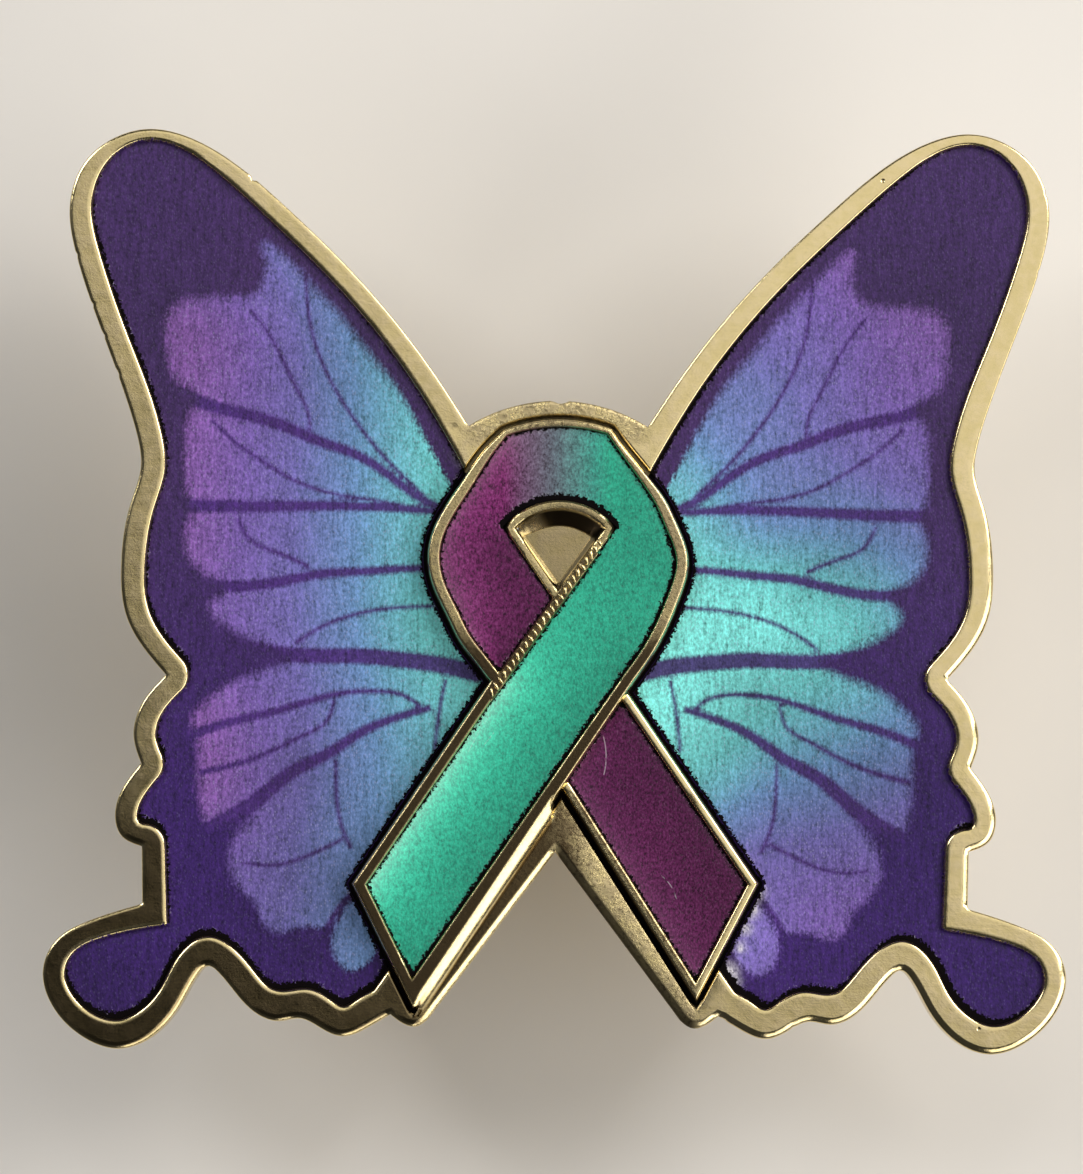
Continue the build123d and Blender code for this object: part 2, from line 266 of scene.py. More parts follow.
# Rounded edges: how far in from the edge they reach and how far they fall, in mm
PLATE_EDGE = (0.07, 0.06)
PLATE_BACK_EDGE = (0.14, 0.12)
RECESS_EDGE = (0.12, 0.07)
GROOVE_EDGE = (0.1, 0.08)
BACK_EDGE = (0.13, 0.1)
BACK_FIELD_EDGE = (0.1, 0.06)
FRONT_FIELD_EDGE = (0.07, 0.05)
POCKET_EDGE = (0.12, 0.08)
PRINT_EDGE = (0.25, 0.05)
ENAMEL_EDGE = (0.5, 0.06)

# Over how many mm a wall falls into a colour field, and a mark on the metal fades out
FIELD_WALL = 0.05
FADE = 0.04

# How far the print's ragged edge moves to and fro, and over how many mm it ends
PRINT_JAG = 0.5
PRINT_END = 0.03

# Scratches in the ribbon's enamel
ENAMEL_SCRATCHES = [
    [(-118, 371), (-147, 348), (-173, 321)], [(-122, 344), (-150, 324)], [(92, 342), (98, 322), (94, 300)],
    [(208, 191), (226, 180), (237, 166)],
]

# Tool marks on the crossing line: turn against the line in degrees, and seed
TOOL_MARK_TURN = 62
TOOL_MARK_SEED = 7

# Edges of the meshes that are sharper than this many degrees stay sharp in the shading
SHARP_ANGLE = 38

# Pale colours that the shaders mix in: plating for the painted highlight, painted glints and residue on the
# print, scratches, painted glints and painted sheen on the enamel, and the fringes of both
HIGHLIGHT_PLATING = (1.0, 0.95, 0.82, 1.0)
PRINT_GLINT = (0.42, 0.4, 0.66, 1.0)
WHITISH = (0.72, 0.7, 0.76, 1.0)
ENAMEL_SCRATCH_AND_SHINE = (0.8, 0.75, 0.8, 1.0)
PRINT_FRINGE = (0.6, 0.55, 0.7, 1.0)
ENAMEL_FRINGE = (0.6, 0.6, 0.6, 1.0)

# Tint of the warm lights
WARM = (1.0, 0.97, 0.93)


def metric(name, description, metres):
    """A property for a length."""
    return FloatProperty(name=name, description=description, unit="LENGTH", default=metres)


def swatch(name, description, *screen):
    """A property for a colour, which is given as 0 to 255 on the screen."""
    linear = tuple(((c / 255 + 0.055) / 1.055) ** 2.4 if c > 10 else c / 255 / 12.92 for c in screen)
    return FloatVectorProperty(name=name, description=description, subtype="COLOR", size=3, default=linear)


class PinSizes(bpy.types.PropertyGroup):
    """Sizes of the pin."""

    width: metric(
        "Width", "Breadth of the butterfly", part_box("cast_plate")[1][0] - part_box("cast_plate")[0][0])
    height: metric(
        "Height", "Height of the butterfly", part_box("cast_plate")[1][1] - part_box("cast_plate")[0][1])
    floor: metric(
        "Floor height", "Height of the wing recesses' floor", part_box("left_wing_fill")[0][2] - FILL_GAP * MM)
    floor_thickness: metric("Floor thickness", "Metal below the recesses", 0.0013)
    rim_height: metric("Rim height", "Outer rim above the recess floor", 0.0005)
    front_height: metric("Front band height", "Front band above the recess floor", 0.00115)
    back_height: metric("Back band height", "Back leg above the recess floor", 0.00085)
    field_depth: metric("Field depth", "Depth of the ribbon's colour fields", 0.00042)
    pocket_depth: metric("Pocket depth", "Depth of the pocket in the loop", 0.0008)
    rim_width: metric("Rim width", "Width of the outer rim", 0.00084)
    band_rim: metric("Ribbon rim", "Width of the front band's rims", 0.00043)
    back_rim: metric("Back leg's rim", "Width of the back leg's rims", 0.00034)
    window_rim: metric("Pocket rim", "Width of the ridge round the pocket", 0.00034)
    crossing_width: metric("Crossing line", "Width of the line where the ribbon crosses", 0.0004)
    groove: metric("Groove", "Width of the groove along the ribbon", 0.0002)
    edge_round: metric("Outer rounding", "Width of the outer edge's slope", 0.00023)
    edge_fall: metric("Outer fall", "Height of the outer edge's slope", 0.00011)
    wall_run: metric("Wall slope", "How far a cast wall leans over its height", 0.00008)
    mesh_step: metric("Mesh step", "Spacing of points along the outlines", 0.00014)
    print_step: metric("Print step", "Spacing of points inside the colour fields", 0.0002)
    print_inset: metric("Print inset", "How far the print stays inside its recess", 0.0001)
    tool_marks: IntProperty(
        name="Tool marks", description="Number of tool marks along the crossing line", default=26, min=2)


class PinColours(bpy.types.PropertyGroup):
    """Colours of the pin."""

    gold: swatch("Gold", "Plating", 232, 212, 160)
    # The dull brown gold is also painted shade on the metal; the gap colour is painted shade: the bare floor
    # coloured near black for the shade in narrow gaps, with the black ink that bleeds into them
    worn_gold_and_shade: swatch("Worn gold", "Plating in the hollows", 100, 85, 60)
    gap: swatch("Gap", "Bare floor between print and rim", 16, 13, 14)
    border_top: swatch("Border, top", "Dark border of the fore wings", 57, 35, 85)
    border_foot: swatch("Border, foot", "Dark border of the hind wings", 49, 23, 91)
    vein: swatch("Veins", "Lines between the cells", 63, 33, 106)
    cyan: swatch("Cyan", "Print beside the ribbon", 130, 234, 228)
    teal: swatch("Teal", "Print near the ribbon", 100, 186, 188)
    steel: swatch("Steel blue", "Print in the middle of the cells", 98, 134, 180)
    violet_blue: swatch("Violet blue", "Print further out", 103, 97, 163)
    violet: swatch("Violet", "Print near the border", 109, 84, 157)
    magenta: swatch("Magenta", "Print at the ends of the cells", 123, 82, 154)
    ribbon_teal: swatch("Ribbon teal", "Ribbon, right and front leg", 51, 181, 149)
    ribbon_sea: swatch("Ribbon sea green", "Ribbon, next to its teal", 64, 158, 142)
    ribbon_sage: swatch("Ribbon sage", "Ribbon, between slate and sea green", 80, 134, 130)
    ribbon_slate: swatch("Ribbon slate", "Ribbon, where its colours meet", 90, 105, 114)
    ribbon_grey: swatch("Ribbon grey", "Ribbon, between slate and mauve", 97, 87, 106)
    ribbon_mauve: swatch("Ribbon mauve", "Ribbon, next to its plum", 103, 72, 103)
    ribbon_plum: swatch("Ribbon plum", "Ribbon, left and back leg", 114, 34, 96)
    table: swatch("Surface", "Surface that the pin lies on", 226, 222, 216)


def sizes():
    """The sizes in millimetres, and the number of tool marks."""
    group = bpy.context.scene.ribbon_pin_sizes
    lengths = {key: getattr(group, key) / MM for key in PinSizes.__annotations__ if key != "tool_marks"}
    return SimpleNamespace(**lengths, tool_marks=group.tool_marks)


def place(rows):
    """Table rows as points in mm."""
    table = np.array([row[:2] for row in rows]) / 1000
    return (table - (0.0, 0.5)) * (sizes().width / 2, sizes().height)


def up(share):
    """The height on the plan in mm at a share in thousandths."""
    return place([(0, share)])[0, 1]


def unit(vectors):
    """Vectors of length one."""
    return vectors / np.linalg.norm(vectors, axis=-1, keepdims=True)


def directions(points):
    """The direction of travel at each point: that of the circle through it and its neighbours."""
    chords = np.diff(points, axis=0)
    if len(chords) == 1:
        return np.repeat(unit(chords), 2, axis=0)
    shares = chords / (chords**2).sum(1)[:, None]
    inner = unit(shares[:-1] + shares[1:])
    ends = zip(unit(chords[[0, -1]]), inner[[0, -1]])
    first, last = (2 * end * (end @ near) - near for end, near in ends)
    return np.vstack([first, inner, last])


def inward(direction):
    """The unit vectors to the right of the directions of travel."""
    return np.stack([direction[..., 1], -direction[..., 0]], axis=-1)


def smooth_curve(points, count):
    """Points along the natural cubic curve through some points."""
    gaps = np.linalg.norm(np.diff(points, axis=0), axis=1)
    knots = np.concatenate([[0.0], np.cumsum(gaps)])
    matrix = np.eye(len(points))
    right = np.zeros_like(points)
    slopes = np.diff(points, axis=0) / gaps[:, None]
    for i in range(1, len(points) - 1):
        matrix[i, i - 1:i + 2] = gaps[i - 1], 2 * (gaps[i - 1] + gaps[i]), gaps[i]
        right[i] = 6 * (slopes[i] - slopes[i - 1])
    bends = np.linalg.solve(matrix, right)
    at = np.linspace(0, knots[-1], count)
    i = np.clip(np.searchsorted(knots, at, "right") - 1, 0, len(gaps) - 1)
    gap, ahead, behind = gaps[i][:, None], (knots[i + 1] - at)[:, None], (at - knots[i])[:, None]
    straight = points[i] * ahead / gap + points[i + 1] * behind / gap
    bent = bends[i] * (ahead**3 / gap - ahead * gap) + bends[i + 1] * (behind**3 / gap - behind * gap)
    return straight + bent / 6


def arc(points, count):
    """Points along the arc through three points."""
    start, middle, end = points
    matrix = 2 * np.array([middle - start, end - start])
    centre = np.linalg.solve(matrix, [middle @ middle - start @ start, end @ end - start @ start])
    angles = [math.atan2(*(point - centre)[::-1]) for point in points]
    turn = (angles[2] - angles[0]) % (2 * math.pi)
    if (angles[1] - angles[0]) % (2 * math.pi) > turn:
        turn -= 2 * math.pi
    at = angles[0] + np.linspace(0, turn, count)
    return centre + np.linalg.norm(start - centre) * np.stack([np.cos(at), np.sin(at)], axis=1)


def sampled(points, step):
    """Points a step apart along one stretch of an outline."""
    total = np.linalg.norm(np.diff(points, axis=0), axis=1).sum()
    count = max(2, round(total / step) + 1)
    if len(points) == 2:
        return points[0] + (points[1] - points[0]) * np.linspace(0, 1, count)[:, None]
    return arc(points, count) if len(points) == 3 else smooth_curve(points, count)


def closed(stretches, step):
    """One closed outline out of its stretches."""
    return np.vstack([sampled(points, step)[:-1] for points in stretches])


def placed(table):
    """The stretches of a table in mm."""
    return [place(rows) for rows in table.values()]


def rim_widths(rows, width):
    """The rim's width in mm at each row of a stretch."""
    return np.array([row[2] if len(row) > 2 else 100 for row in rows]) / 100 * width


def moved_in(outline, distance):
    """A closed outline moved inward by a distance in mm, outward if negative."""
    sides = inward(unit(outline - np.roll(outline, 1, axis=0)))
    after = np.roll(sides, -1, axis=0)
    share = distance / np.maximum(1 + (sides * after).sum(1), 0.4)
    return outline + (sides + after) * share[:, None]


def rim_inside(table, width):
    """The stretches of a table moved in by the rim's width at each row, mitred at the corners."""
    stretches = placed(table)
    widths = [rim_widths(rows, width) for rows in table.values()]
    normals = [inward(directions(points)) for points in stretches]
    moved = [points + sides * by[:, None] for points, sides, by in zip(stretches, normals, widths)]
    for i, points in enumerate(stretches):
        ending, starting = normals[i - 1][-1], normals[i][0]
        corner = points[0] + (ending + starting) * (widths[i][0] / (1 + ending @ starting))
        if ending @ starting < 0.9:
            corner = points[0] + np.linalg.solve([ending, starting], [widths[i - 1][-1], widths[i][0]])
        moved[i - 1][-1] = moved[i][0] = corner
    return moved


def plate_outline(step):
    """The butterfly's whole edge."""
    half = placed(RIGHT_EDGE)
    left = [points[::-1] * (-1, 1) for points in half[::-1]]
    return closed([place(DOME)] + half + left, step)


def wing_recess_outline(step):
    """The right wing's recess: the wing's edge moved in by the rim's own width."""
    shown = list(RIGHT_EDGE)[:list(RIGHT_EDGE).index("leg tip")]
    stretches = []
    for name in shown:
        points = place(RIGHT_EDGE[name])
        widths = rim_widths(RIGHT_EDGE[name], sizes().rim_width)
        normals = inward(directions(points))
        moved = points + normals * widths[:, None]
        if name == shown[0]:
            moved[0] -= directions(moved)[0] * RECESS_REACH
        elif before in ROUND_CORNERS_AFTER:
            middle = points[0] + unit(ending + normals[0]) * widths[0]
            stretches.append(np.array([stretches[-1][-1], middle, moved[0]]))
        else:
            moved[0] = points[0] + (ending + normals[0]) * (widths[0] / (1 + ending @ normals[0]))
            stretches[-1][-1] = moved[0]
        stretches.append(moved)
        before, ending = name, normals[-1]
    hidden = np.vstack([stretches[-1][-1], place(RIGHT_RECESS_CLOSE), stretches[0][0]])
    return closed(stretches + [hidden[i:i + 2] for i in range(len(hidden) - 1)], step)


def crossing_line():
    """The upper and lower end of the line where the ribbon crosses, and its direction."""
    top, foot = place(CROSSING_LINE)
    return top, foot, unit(foot - top)


def crossing_outline(step, extra=0.0):
    """The raised line along the front band's left edge, larger on all sides by an extra amount."""
    top, foot, along = crossing_line()
    side = inward(along) * (sizes().crossing_width / 2 + extra)
    top, foot = top - along * extra, foot + along * extra
    corners = np.array([top - side, foot - side, foot + side, top + side])
    return closed([corners[[i, (i + 1) % 4]] for i in range(4)], step)


def segment_distance(points, starts, ends, widths=None):
    """The distance from each point to the nearest of some segments, less the width there."""
    along = ends - starts
    squared = np.maximum((along**2).sum(1), 1e-12)
    nearest = np.empty(len(points))
    for low in range(0, len(points), 2000):
        away = points[low:low + 2000, None] - starts
        share = np.clip((away * along).sum(2) / squared, 0, 1)
        gap = np.hypot(*(away - share[..., None] * along).transpose(2, 0, 1))
        if widths is not None:
            gap = gap - (widths[0] + (widths[1] - widths[0]) * share)
        nearest[low:low + 2000] = gap.min(1)
    return nearest


def line_distance(points, rows):
    """The distance in mm from an open line through table rows."""
    line = place(rows)
    return segment_distance(points, line[:-1], line[1:])


def depth_inside(points, outline):
    """The distance inside a clockwise closed outline in mm, negative outside it."""
    count = len(outline)
    low, high = ([(x, y, z) for x, y in outline] for z in (-1.0, 1.0))
    quads = [(i, (i + 1) % count, (i + 1) % count + count, i + count) for i in range(count)]
    tree = BVHTree.FromPolygons(low + high, quads)
    found = [tree.find_nearest((x, y, 0.0)) for x, y in points]
    side = np.array([hit[2] for hit in found])
    gap = np.array([hit[3] for hit in found])
    spot = np.array([hit[0][:2] for hit in found])
    along = np.roll(outline, -1, axis=0) - outline
    normals = inward(unit(along))
    share = ((spot - outline[side]) * along[side]).sum(1) / (along[side] ** 2).sum(1)
    facing = normals[side]
    facing = np.where(share[:, None] < 1e-3, facing + normals[side - 1], facing)
    facing = np.where(share[:, None] > 1 - 1e-3, normals[side] + normals[(side + 1) % count], facing)
    return np.where(((points - spot) * facing).sum(1) > 0, gap, -gap)


def ramp(value, run):
    """0 below 0, 1 above the run, straight between."""
    return np.clip(value / run, 0, 1)


def rounded(depth, radius, fall):
    """How far a rounded edge has fallen at a depth in from it."""
    away = 1 - ramp(depth, radius)
    return fall * (1 - np.sqrt(1 - away**2))


def blend(low, high, share):
    """A mix of two values."""
    return low + (high - low) * share


def spots(points, rows):
    """For each row of a table of spots: the points' distance from it in radii, and its last value."""
    for row in rows:
        yield np.hypot(*(points - place([row])[0]).T) / row[2], row[-1]


class Outlines:
    """The sizes and all closed outlines of the pin."""

    def __init__(self):
        self.size = sizes()
        step = self.size.mesh_step
        self.plate = plate_outline(step)
        self.right = wing_recess_outline(step)
        self.left = (self.right * (-1, 1))[::-1]
        self.front = closed(placed(FRONT_BAND), step)
        self.inner = closed(rim_inside(FRONT_BAND, self.size.band_rim), step)
        self.back = closed(placed(BACK_BAND), step)
        self.window = closed(placed(WINDOW), step)
        self.pocket = closed(placed(POCKET_FLOOR), step)
        self.crossing = crossing_outline(step)


class At:
    """Points of the plan, with the depth in mm of each inside an outline, under the outline's name."""

    def __init__(self, outlines, points):
        self.outlines = outlines
        self.size = outlines.size
        self.points = points
        self.x, self.y = points.T

    def __getattr__(self, name):
        depth = depth_inside(self.points, getattr(self.outlines, name))
        setattr(self, name, depth)
        return depth

    @property
    def ribbon(self):
        """The depth inside the whole ribbon."""
        return np.maximum(self.front, self.back)

    @property
    def beside(self):
        """The distance outside the ribbon's groove."""
        return -self.ribbon - self.size.groove

    @property
    def recess(self):
        """The depth inside a wing's recess."""
        return np.maximum(self.right, self.left)

    @property
    def front_field(self):
        """The depth inside the colour field of the loop and front leg."""
        window = -self.window - self.size.window_rim
        return np.minimum(np.minimum(self.inner, window), -self.crossing)

    @property
    def back_field(self):
        """The depth inside the colour field of the back leg."""
        return np.minimum(self.back - self.size.back_rim, -self.front)

    @property
    def left_field(self):
        """The depth inside the left wing's recess, clear of the ribbon's groove."""
        return np.minimum(self.left, self.beside)

    @property
    def right_field(self):
        """The depth inside the right wing's recess, clear of the ribbon's groove."""
        return np.minimum(self.right, self.beside)

    def print_margin(self, side):
        """The distance in mm inside the print's edge in a wing, shifted from its recess."""
        shifted = depth_inside(self.points - PRINT_OFFSET[side], getattr(self.outlines, side))
        return shifted - self.size.print_inset


def triangulate(outlines, lines=(), loose=()):
    """A flat mesh through closed outlines, open lines and loose points: its points and triangles."""
    points, edges = [], []
    for line, joins in [(line, len(line)) for line in outlines] + [(line, len(line) - 1) for line in lines]:
        start = len(points)
        points += [Vector(point) for point in line]
        edges += [(start + i, start + (i + 1) % len(line)) for i in range(joins)]
    points += [Vector(point) for point in loose]
    result = delaunay_2d_cdt(points, edges, [], 0, 1e-5)
    flat = np.array([tuple(point) for point in result[0]])
    faces = np.array([face[:3] for face in result[2]])
    a, b, c = (flat[faces[:, i]] for i in range(3))
    turn = (b[:, 0] - a[:, 0]) * (c[:, 1] - a[:, 1]) - (b[:, 1] - a[:, 1]) * (c[:, 0] - a[:, 0])
    faces = faces[np.abs(turn) > 1e-9]
    turn = turn[np.abs(turn) > 1e-9]
    faces[turn < 0] = faces[turn < 0][:, ::-1]
    return flat, faces


def kept(flat, faces, keep):
    """The triangles to keep, with only the points that they use."""
    faces = faces[keep]
    used, numbers = np.unique(faces, return_inverse=True)
    return flat[used], numbers.reshape(faces.shape)


def border_loop(faces):
    """The edges that only one triangle has, in that triangle's own direction."""
    edges = np.vstack([faces[:, [0, 1]], faces[:, [1, 2]], faces[:, [2, 0]]])
    _, index, count = np.unique(np.sort(edges, axis=1), axis=0, return_index=True, return_counts=True)
    return edges[index[count == 1]]


def new_object(name, points, faces, material, slot, nodes, attributes=None):
    """A mesh piece out of points in mm, which stands for some nodes of the frame."""
    mesh = bpy.data.meshes.new(name)
    mesh.from_pydata([tuple(point) for point in np.asarray(points) * MM], [], [tuple(f) for f in faces])
    for key, values in (attributes or {}).items():
        layer = mesh.attributes.new(key, "FLOAT", "POINT")
        layer.data.foreach_set("value", np.asarray(values, dtype=np.float32))
    mesh.validate()
    mesh.shade_smooth()
    mesh.set_sharp_from_angle(angle=math.radians(SHARP_ANGLE))
    mesh.materials.append(material)
    piece = bpy.data.objects.new(name, mesh)
    bpy.context.collection.objects.link(piece)
    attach(piece, "root")
    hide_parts(*nodes)


def solid_from_top(flat, faces, top, bottom):
    """A closed solid: the triangles at their own heights, a wall, and a flat copy below."""
    count = len(flat)
    high = np.column_stack([flat, top])
    low = np.column_stack([flat, np.full(count, bottom)])
    wall = [(b, a, a + count, b + count) for a, b in border_loop(faces)]
    sheets = [tuple(face) for face in faces] + [tuple(face[::-1] + count) for face in faces]
    return np.vstack([high, low]), sheets + wall


def revolved(profile, centre, sides=96):
    """A closed turned shape: rows of radius and height in mm from its foot to its top."""
    x, y = centre
    angles = np.linspace(0, 2 * math.pi, sides, endpoint=False)
    points = [(x, y, profile[0][1])]
    for radius, height in profile:
        points += [(x + radius * math.cos(a), y + radius * math.sin(a), height) for a in angles]
    points.append((x, y, profile[-1][1]))
    faces = [(0, 1 + (i + 1) % sides, 1 + i) for i in range(sides)]
    for low in range(1, 1 + (len(profile) - 1) * sides, sides):
        for i in range(sides):
            j = (i + 1) % sides
            faces.append((low + i, low + j, low + sides + j, low + sides + i))
    last = 1 + (len(profile) - 1) * sides
    faces += [(len(points) - 1, last + i, last + (i + 1) % sides) for i in range(sides)]
    return np.array(points), faces


class Value:
    """One output in a shader tree. Arithmetic on it adds the nodes for it."""

    def __init__(self, graph, socket):
        self.graph = graph
        self.socket = socket

    def __add__(self, other):
        return self.graph.math("ADD", self, other)

    def __sub__(self, other):
        return self.graph.math("SUBTRACT", self, other)

    def __rsub__(self, other):
        return self.graph.math("SUBTRACT", other, self)

    def __mul__(self, other):
        return self.graph.math("MULTIPLY", self, other)

    def rise(self, low, high, start=0.0, end=1.0):
        """A smooth step from start to end as the value goes from low to high."""
        ends = {0: self, 1: low, 2: high, 3: start, 4: end}
        return self.graph.value("ShaderNodeMapRange", ends, interpolation_type="SMOOTHSTEP")


class Graph:
    """Adds nodes to one tree."""

    def __init__(self, tree):
        self.tree = tree

    def fill(self, node, values):
        """Set or link some inputs of a node."""
        for key, value in values.items():
            if isinstance(value, Value):
                self.tree.links.new(value.socket, node.inputs[key])
            else:
                node.inputs[key].default_value = value

    def add(self, kind, values, **settings):
        node = self.tree.nodes.new(kind)
        for key, value in settings.items():
            setattr(node, key, value)
        self.fill(node, values)
        return node

    def value(self, kind, values, output=0, **settings):
        return Value(self, self.add(kind, values, **settings).outputs[output])

    def math(self, operation, a, b, clamp=False):
        return self.value("ShaderNodeMath", {0: a, 1: b}, operation=operation, use_clamp=clamp)

    def mix(self, share, a, b, how="MIX"):
        return self.value("ShaderNodeMix", {0: share, 6: a, 7: b}, 2, data_type="RGBA", blend_type=how)

    def dimmed(self, paint, red, green=None, blue=None):
        """A colour times a level, or times one level for each of its parts."""
        levels = {0: red, 1: green or red, 2: blue or red}
        return self.mix(1.0, paint, self.value("ShaderNodeCombineColor", levels), "MULTIPLY")

    def attribute(self, name):
        return self.value("ShaderNodeAttribute", {}, "Fac", attribute_name=name)

    def noise(self, vector, scale, detail=2.0, roughness=0.5):
        values = {"Vector": vector, "Scale": scale, "Detail": detail, "Roughness": roughness}
        return self.value("ShaderNodeTexNoise", values, "Fac")

    def cells(self, vector, scale, share):
        """The distance from the middle of small cells, and 1 in the chosen share of them."""
        node = self.add("ShaderNodeTexVoronoi", {"Vector": vector, "Scale": scale})
        lot = self.value("ShaderNodeSeparateColor", {0: Value(self, node.outputs["Color"])})
        return Value(self, node.outputs["Distance"]), self.math("LESS_THAN", lot, share)

    def ramp(self, value, stops):
        """The pin's colours by name, in a row of stops."""
        node = self.add("ShaderNodeValToRGB", {0: value})
        elements = node.color_ramp.elements
        while len(elements) < len(stops):
            elements.new(0.5)
        for element, (position, name) in zip(elements, stops.items()):
            element.position = position
            element.color = colour(name)
        return Value(self, node.outputs["Color"])

    def millimetres(self, stretch=(1.0, 1.0, 1.0), offset=(0.0, 0.0, 0.0)):
        """Object coordinates in mm, stretched."""
        where = self.value("ShaderNodeTexCoord", {}, "Object")
        scale = tuple(1 / MM * share for share in stretch)
        return self.value("ShaderNodeMapping", {"Vector": where, "Scale": scale, "Location": offset})

    def bump(self, height, strength, distance):
        values = {"Strength": strength, "Distance": distance, "Height": height}
        return self.value("ShaderNodeBump", values)

    def group(self, name, values):
        """One of the shader node groups, as its outputs by name. It is made at its first use."""
        if name not in bpy.data.node_groups:
            fill, inputs, outputs = SHADER_GROUPS[name]
            tree = bpy.data.node_groups.new(name, "ShaderNodeTree")
            for key, default in inputs.items():
                socket = tree.interface.new_socket(name=key, in_out="INPUT", socket_type="NodeSocketFloat")
                socket.default_value = default
            for key in outputs:
                kind = "NodeSocketColor" if key == "Ink" else "NodeSocketFloat"
                tree.interface.new_socket(name=key, in_out="OUTPUT", socket_type=kind)
            inside = Graph(tree)
            given = inside.add("NodeGroupInput", {}).outputs
            results = fill(inside, *(Value(inside, given[key]) for key in inputs))
            inside.add("NodeGroupOutput", dict(zip(outputs, results)))
        node = self.add("ShaderNodeGroup", values, node_tree=bpy.data.node_groups[name])
        return SimpleNamespace(**{out.name.lower(): Value(self, out) for out in node.outputs})


def print_grain(graph, grains, glint_share, line_amount):
    """The fine sandy grain of printed colour, with its faint upright lines and bright dots painted in as
    glints of its sparkle.
    """
    fine = graph.noise(graph.millimetres((1.25, 0.8, 1.0)), grains, 3.0, 0.6)
    coarse = graph.noise(graph.millimetres(), grains * 0.45)
    lines = graph.noise(graph.millimetres((1.0, 0.16, 1.0)), 8.5, 1.0)
    distance, chosen = graph.cells(graph.millimetres((1.0, 0.7, 1.0)), grains * 1.4, glint_share)
    spot = distance.rise(0.55, 0.1)
    jag = graph.noise(graph.millimetres((1.0, 1.0, 0.0)), 7.5, 2.0, 0.75)
    grain = fine * 0.8 + coarse * 0.2 + (lines - 0.5) * line_amount
    return grain, spot * chosen, fine + spot * 0.3, jag - 0.5


def border_ink(graph, level):
    """The dark ink of the wings' border, greyer at the top and bluer at the foot, with its grain."""
    height = graph.value("ShaderNodeSeparateXYZ", {0: graph.millimetres()}, 1)
    border = graph.mix(height.rise(6.0, -10.0), colour("border_top"), colour("border_foot"))
    return [graph.dimmed(border, level)]


def metal_wear(graph, porous, pit_share):
    """Cast and plated metal: slow waves, fine grain, pits and fine scratches."""
    wave = graph.noise(graph.millimetres(), 0.55, 3.0)
    blotch = graph.noise(graph.millimetres(), 2.2, 4.0, 0.6)
    fine = graph.noise(graph.millimetres(), 14.0, 3.0, 0.65)
    sand = graph.noise(graph.millimetres(), 6.5, 4.0, 0.8)
    scratch = graph.noise(graph.millimetres((0.35, 9.0, 1.0), (3.0, 1.0, 0.0)), 1.6, 3.0, 0.7)
    distance, chosen = graph.cells(graph.millimetres(), 1.9, pit_share)
    pit = distance.rise(0.17, 0.05) * chosen
    rough = (blotch - 0.5) * 0.16 + porous * 0.12
    height = wave * 0.9 + fine * 0.14 + scratch * 0.08 + (sand - 0.5) * porous * 1.6 - pit * 1.2
    return blotch * 0.6 + wave * 0.4, rough, height, pit, sand.rise(0.52, 0.62) * porous


# The function that fills each shader node group, its inputs with their values, and its outputs
SHADER_GROUPS = {
    "print_grain": (
        print_grain, {"Grains per mm": 9.0, "Speck amount": 0.1, "Line amount": 0.4},
        ("Grain", "Specks", "Height", "Jag")),
    "border_ink": (border_ink, {"Level": 1.0}, ("Ink",)),
    "metal_wear": (
        metal_wear, {"Porous": 0.0, "Pits": 0.012}, ("Tone", "Roughness", "Height", "Pit", "Sand")),
}


def new_material(name):
    """A material with a graph to add to, and its Principled shader, which is wired to the output."""
    material = bpy.data.materials.new(name)
    material.use_nodes = True
    shader = next(node for node in material.node_tree.nodes if node.type == "BSDF_PRINCIPLED")
    return material, Graph(material.node_tree), shader


def colour(name):
    """One of the pin's colours with its alpha."""
    return (*getattr(bpy.context.scene.ribbon_pin_colours, name), 1.0)


def gold_material(name, roughness=0.15, print_over=False):
    """Pale gold plating, darker and duller in the hollows and on some rims as painted shade, with a painted
    highlight on the pocket's left wall; the wings' print may run over it.
    """
    material, graph, shader = new_material(name)
    hollow, porous = graph.attribute("hollow"), graph.attribute("porous")
    wear = graph.group("metal_wear", {"Porous": porous})
    tone = wear.tone.rise(0.35, 0.65, 0.92, 1.05)
    plating = graph.dimmed(colour("gold"), tone, tone, tone * tone)
    # Painted highlight: the plating mixed paler where the pocket's left wall catches the light
    plating = graph.mix(graph.attribute("pale"), plating, HIGHLIGHT_PLATING)
    # Browner for real sand, pits and blotches, and as painted shade on the ribbon's rims, beside the vee, low
    # on the left and in the pocket; near black as painted shade in the hollows
    dull_and_shade = wear.tone.rise(0.42, 0.6) * porous * 0.35 + wear.pit * 0.7 + wear.sand * 0.45
    dull_and_shade = graph.math("ADD", dull_and_shade, graph.attribute("worn"), clamp=True)
    metal = graph.mix(hollow, graph.mix(dull_and_shade, plating, colour("worn_gold_and_shade")), colour("gap"))
    rough = wear.roughness + roughness + hollow * 0.3
    bump = graph.bump(wear.height, 0.5, 0.00003)
    surface = {"Base Color": metal, "Roughness": rough, "Metallic": 1.0, "Normal": bump}
    if print_over:
        grain = graph.group("print_grain", {})
        printed = (grain.jag * 0.45 + graph.attribute("printed")).rise(0.0, PRINT_END)
        ink = graph.group("border_ink", {"Level": (grain.grain - 0.5) * 2.6 + 1.0})
        surface["Base Color"] = graph.mix(printed, metal, ink.ink)
        surface["Roughness"] = printed * 0.35 + rough
        surface["Metallic"] = 1.0 - printed
        surface["Specular IOR Level"] = 0.25
    graph.fill(shader, surface)
    return material


def printed_shader(graph, shader, paint, printed, specular, rough, bump):
    """Wire up printed colour, with the bare floor past its edge coloured near black: painted shade in the
    narrow gap, with the black ink that bleeds there.
    """
    graph.fill(shader, {
        "Base Color": graph.mix(printed, colour("gap"), paint), "Roughness": rough,
        "Specular IOR Level": printed * specular, "Normal": bump})


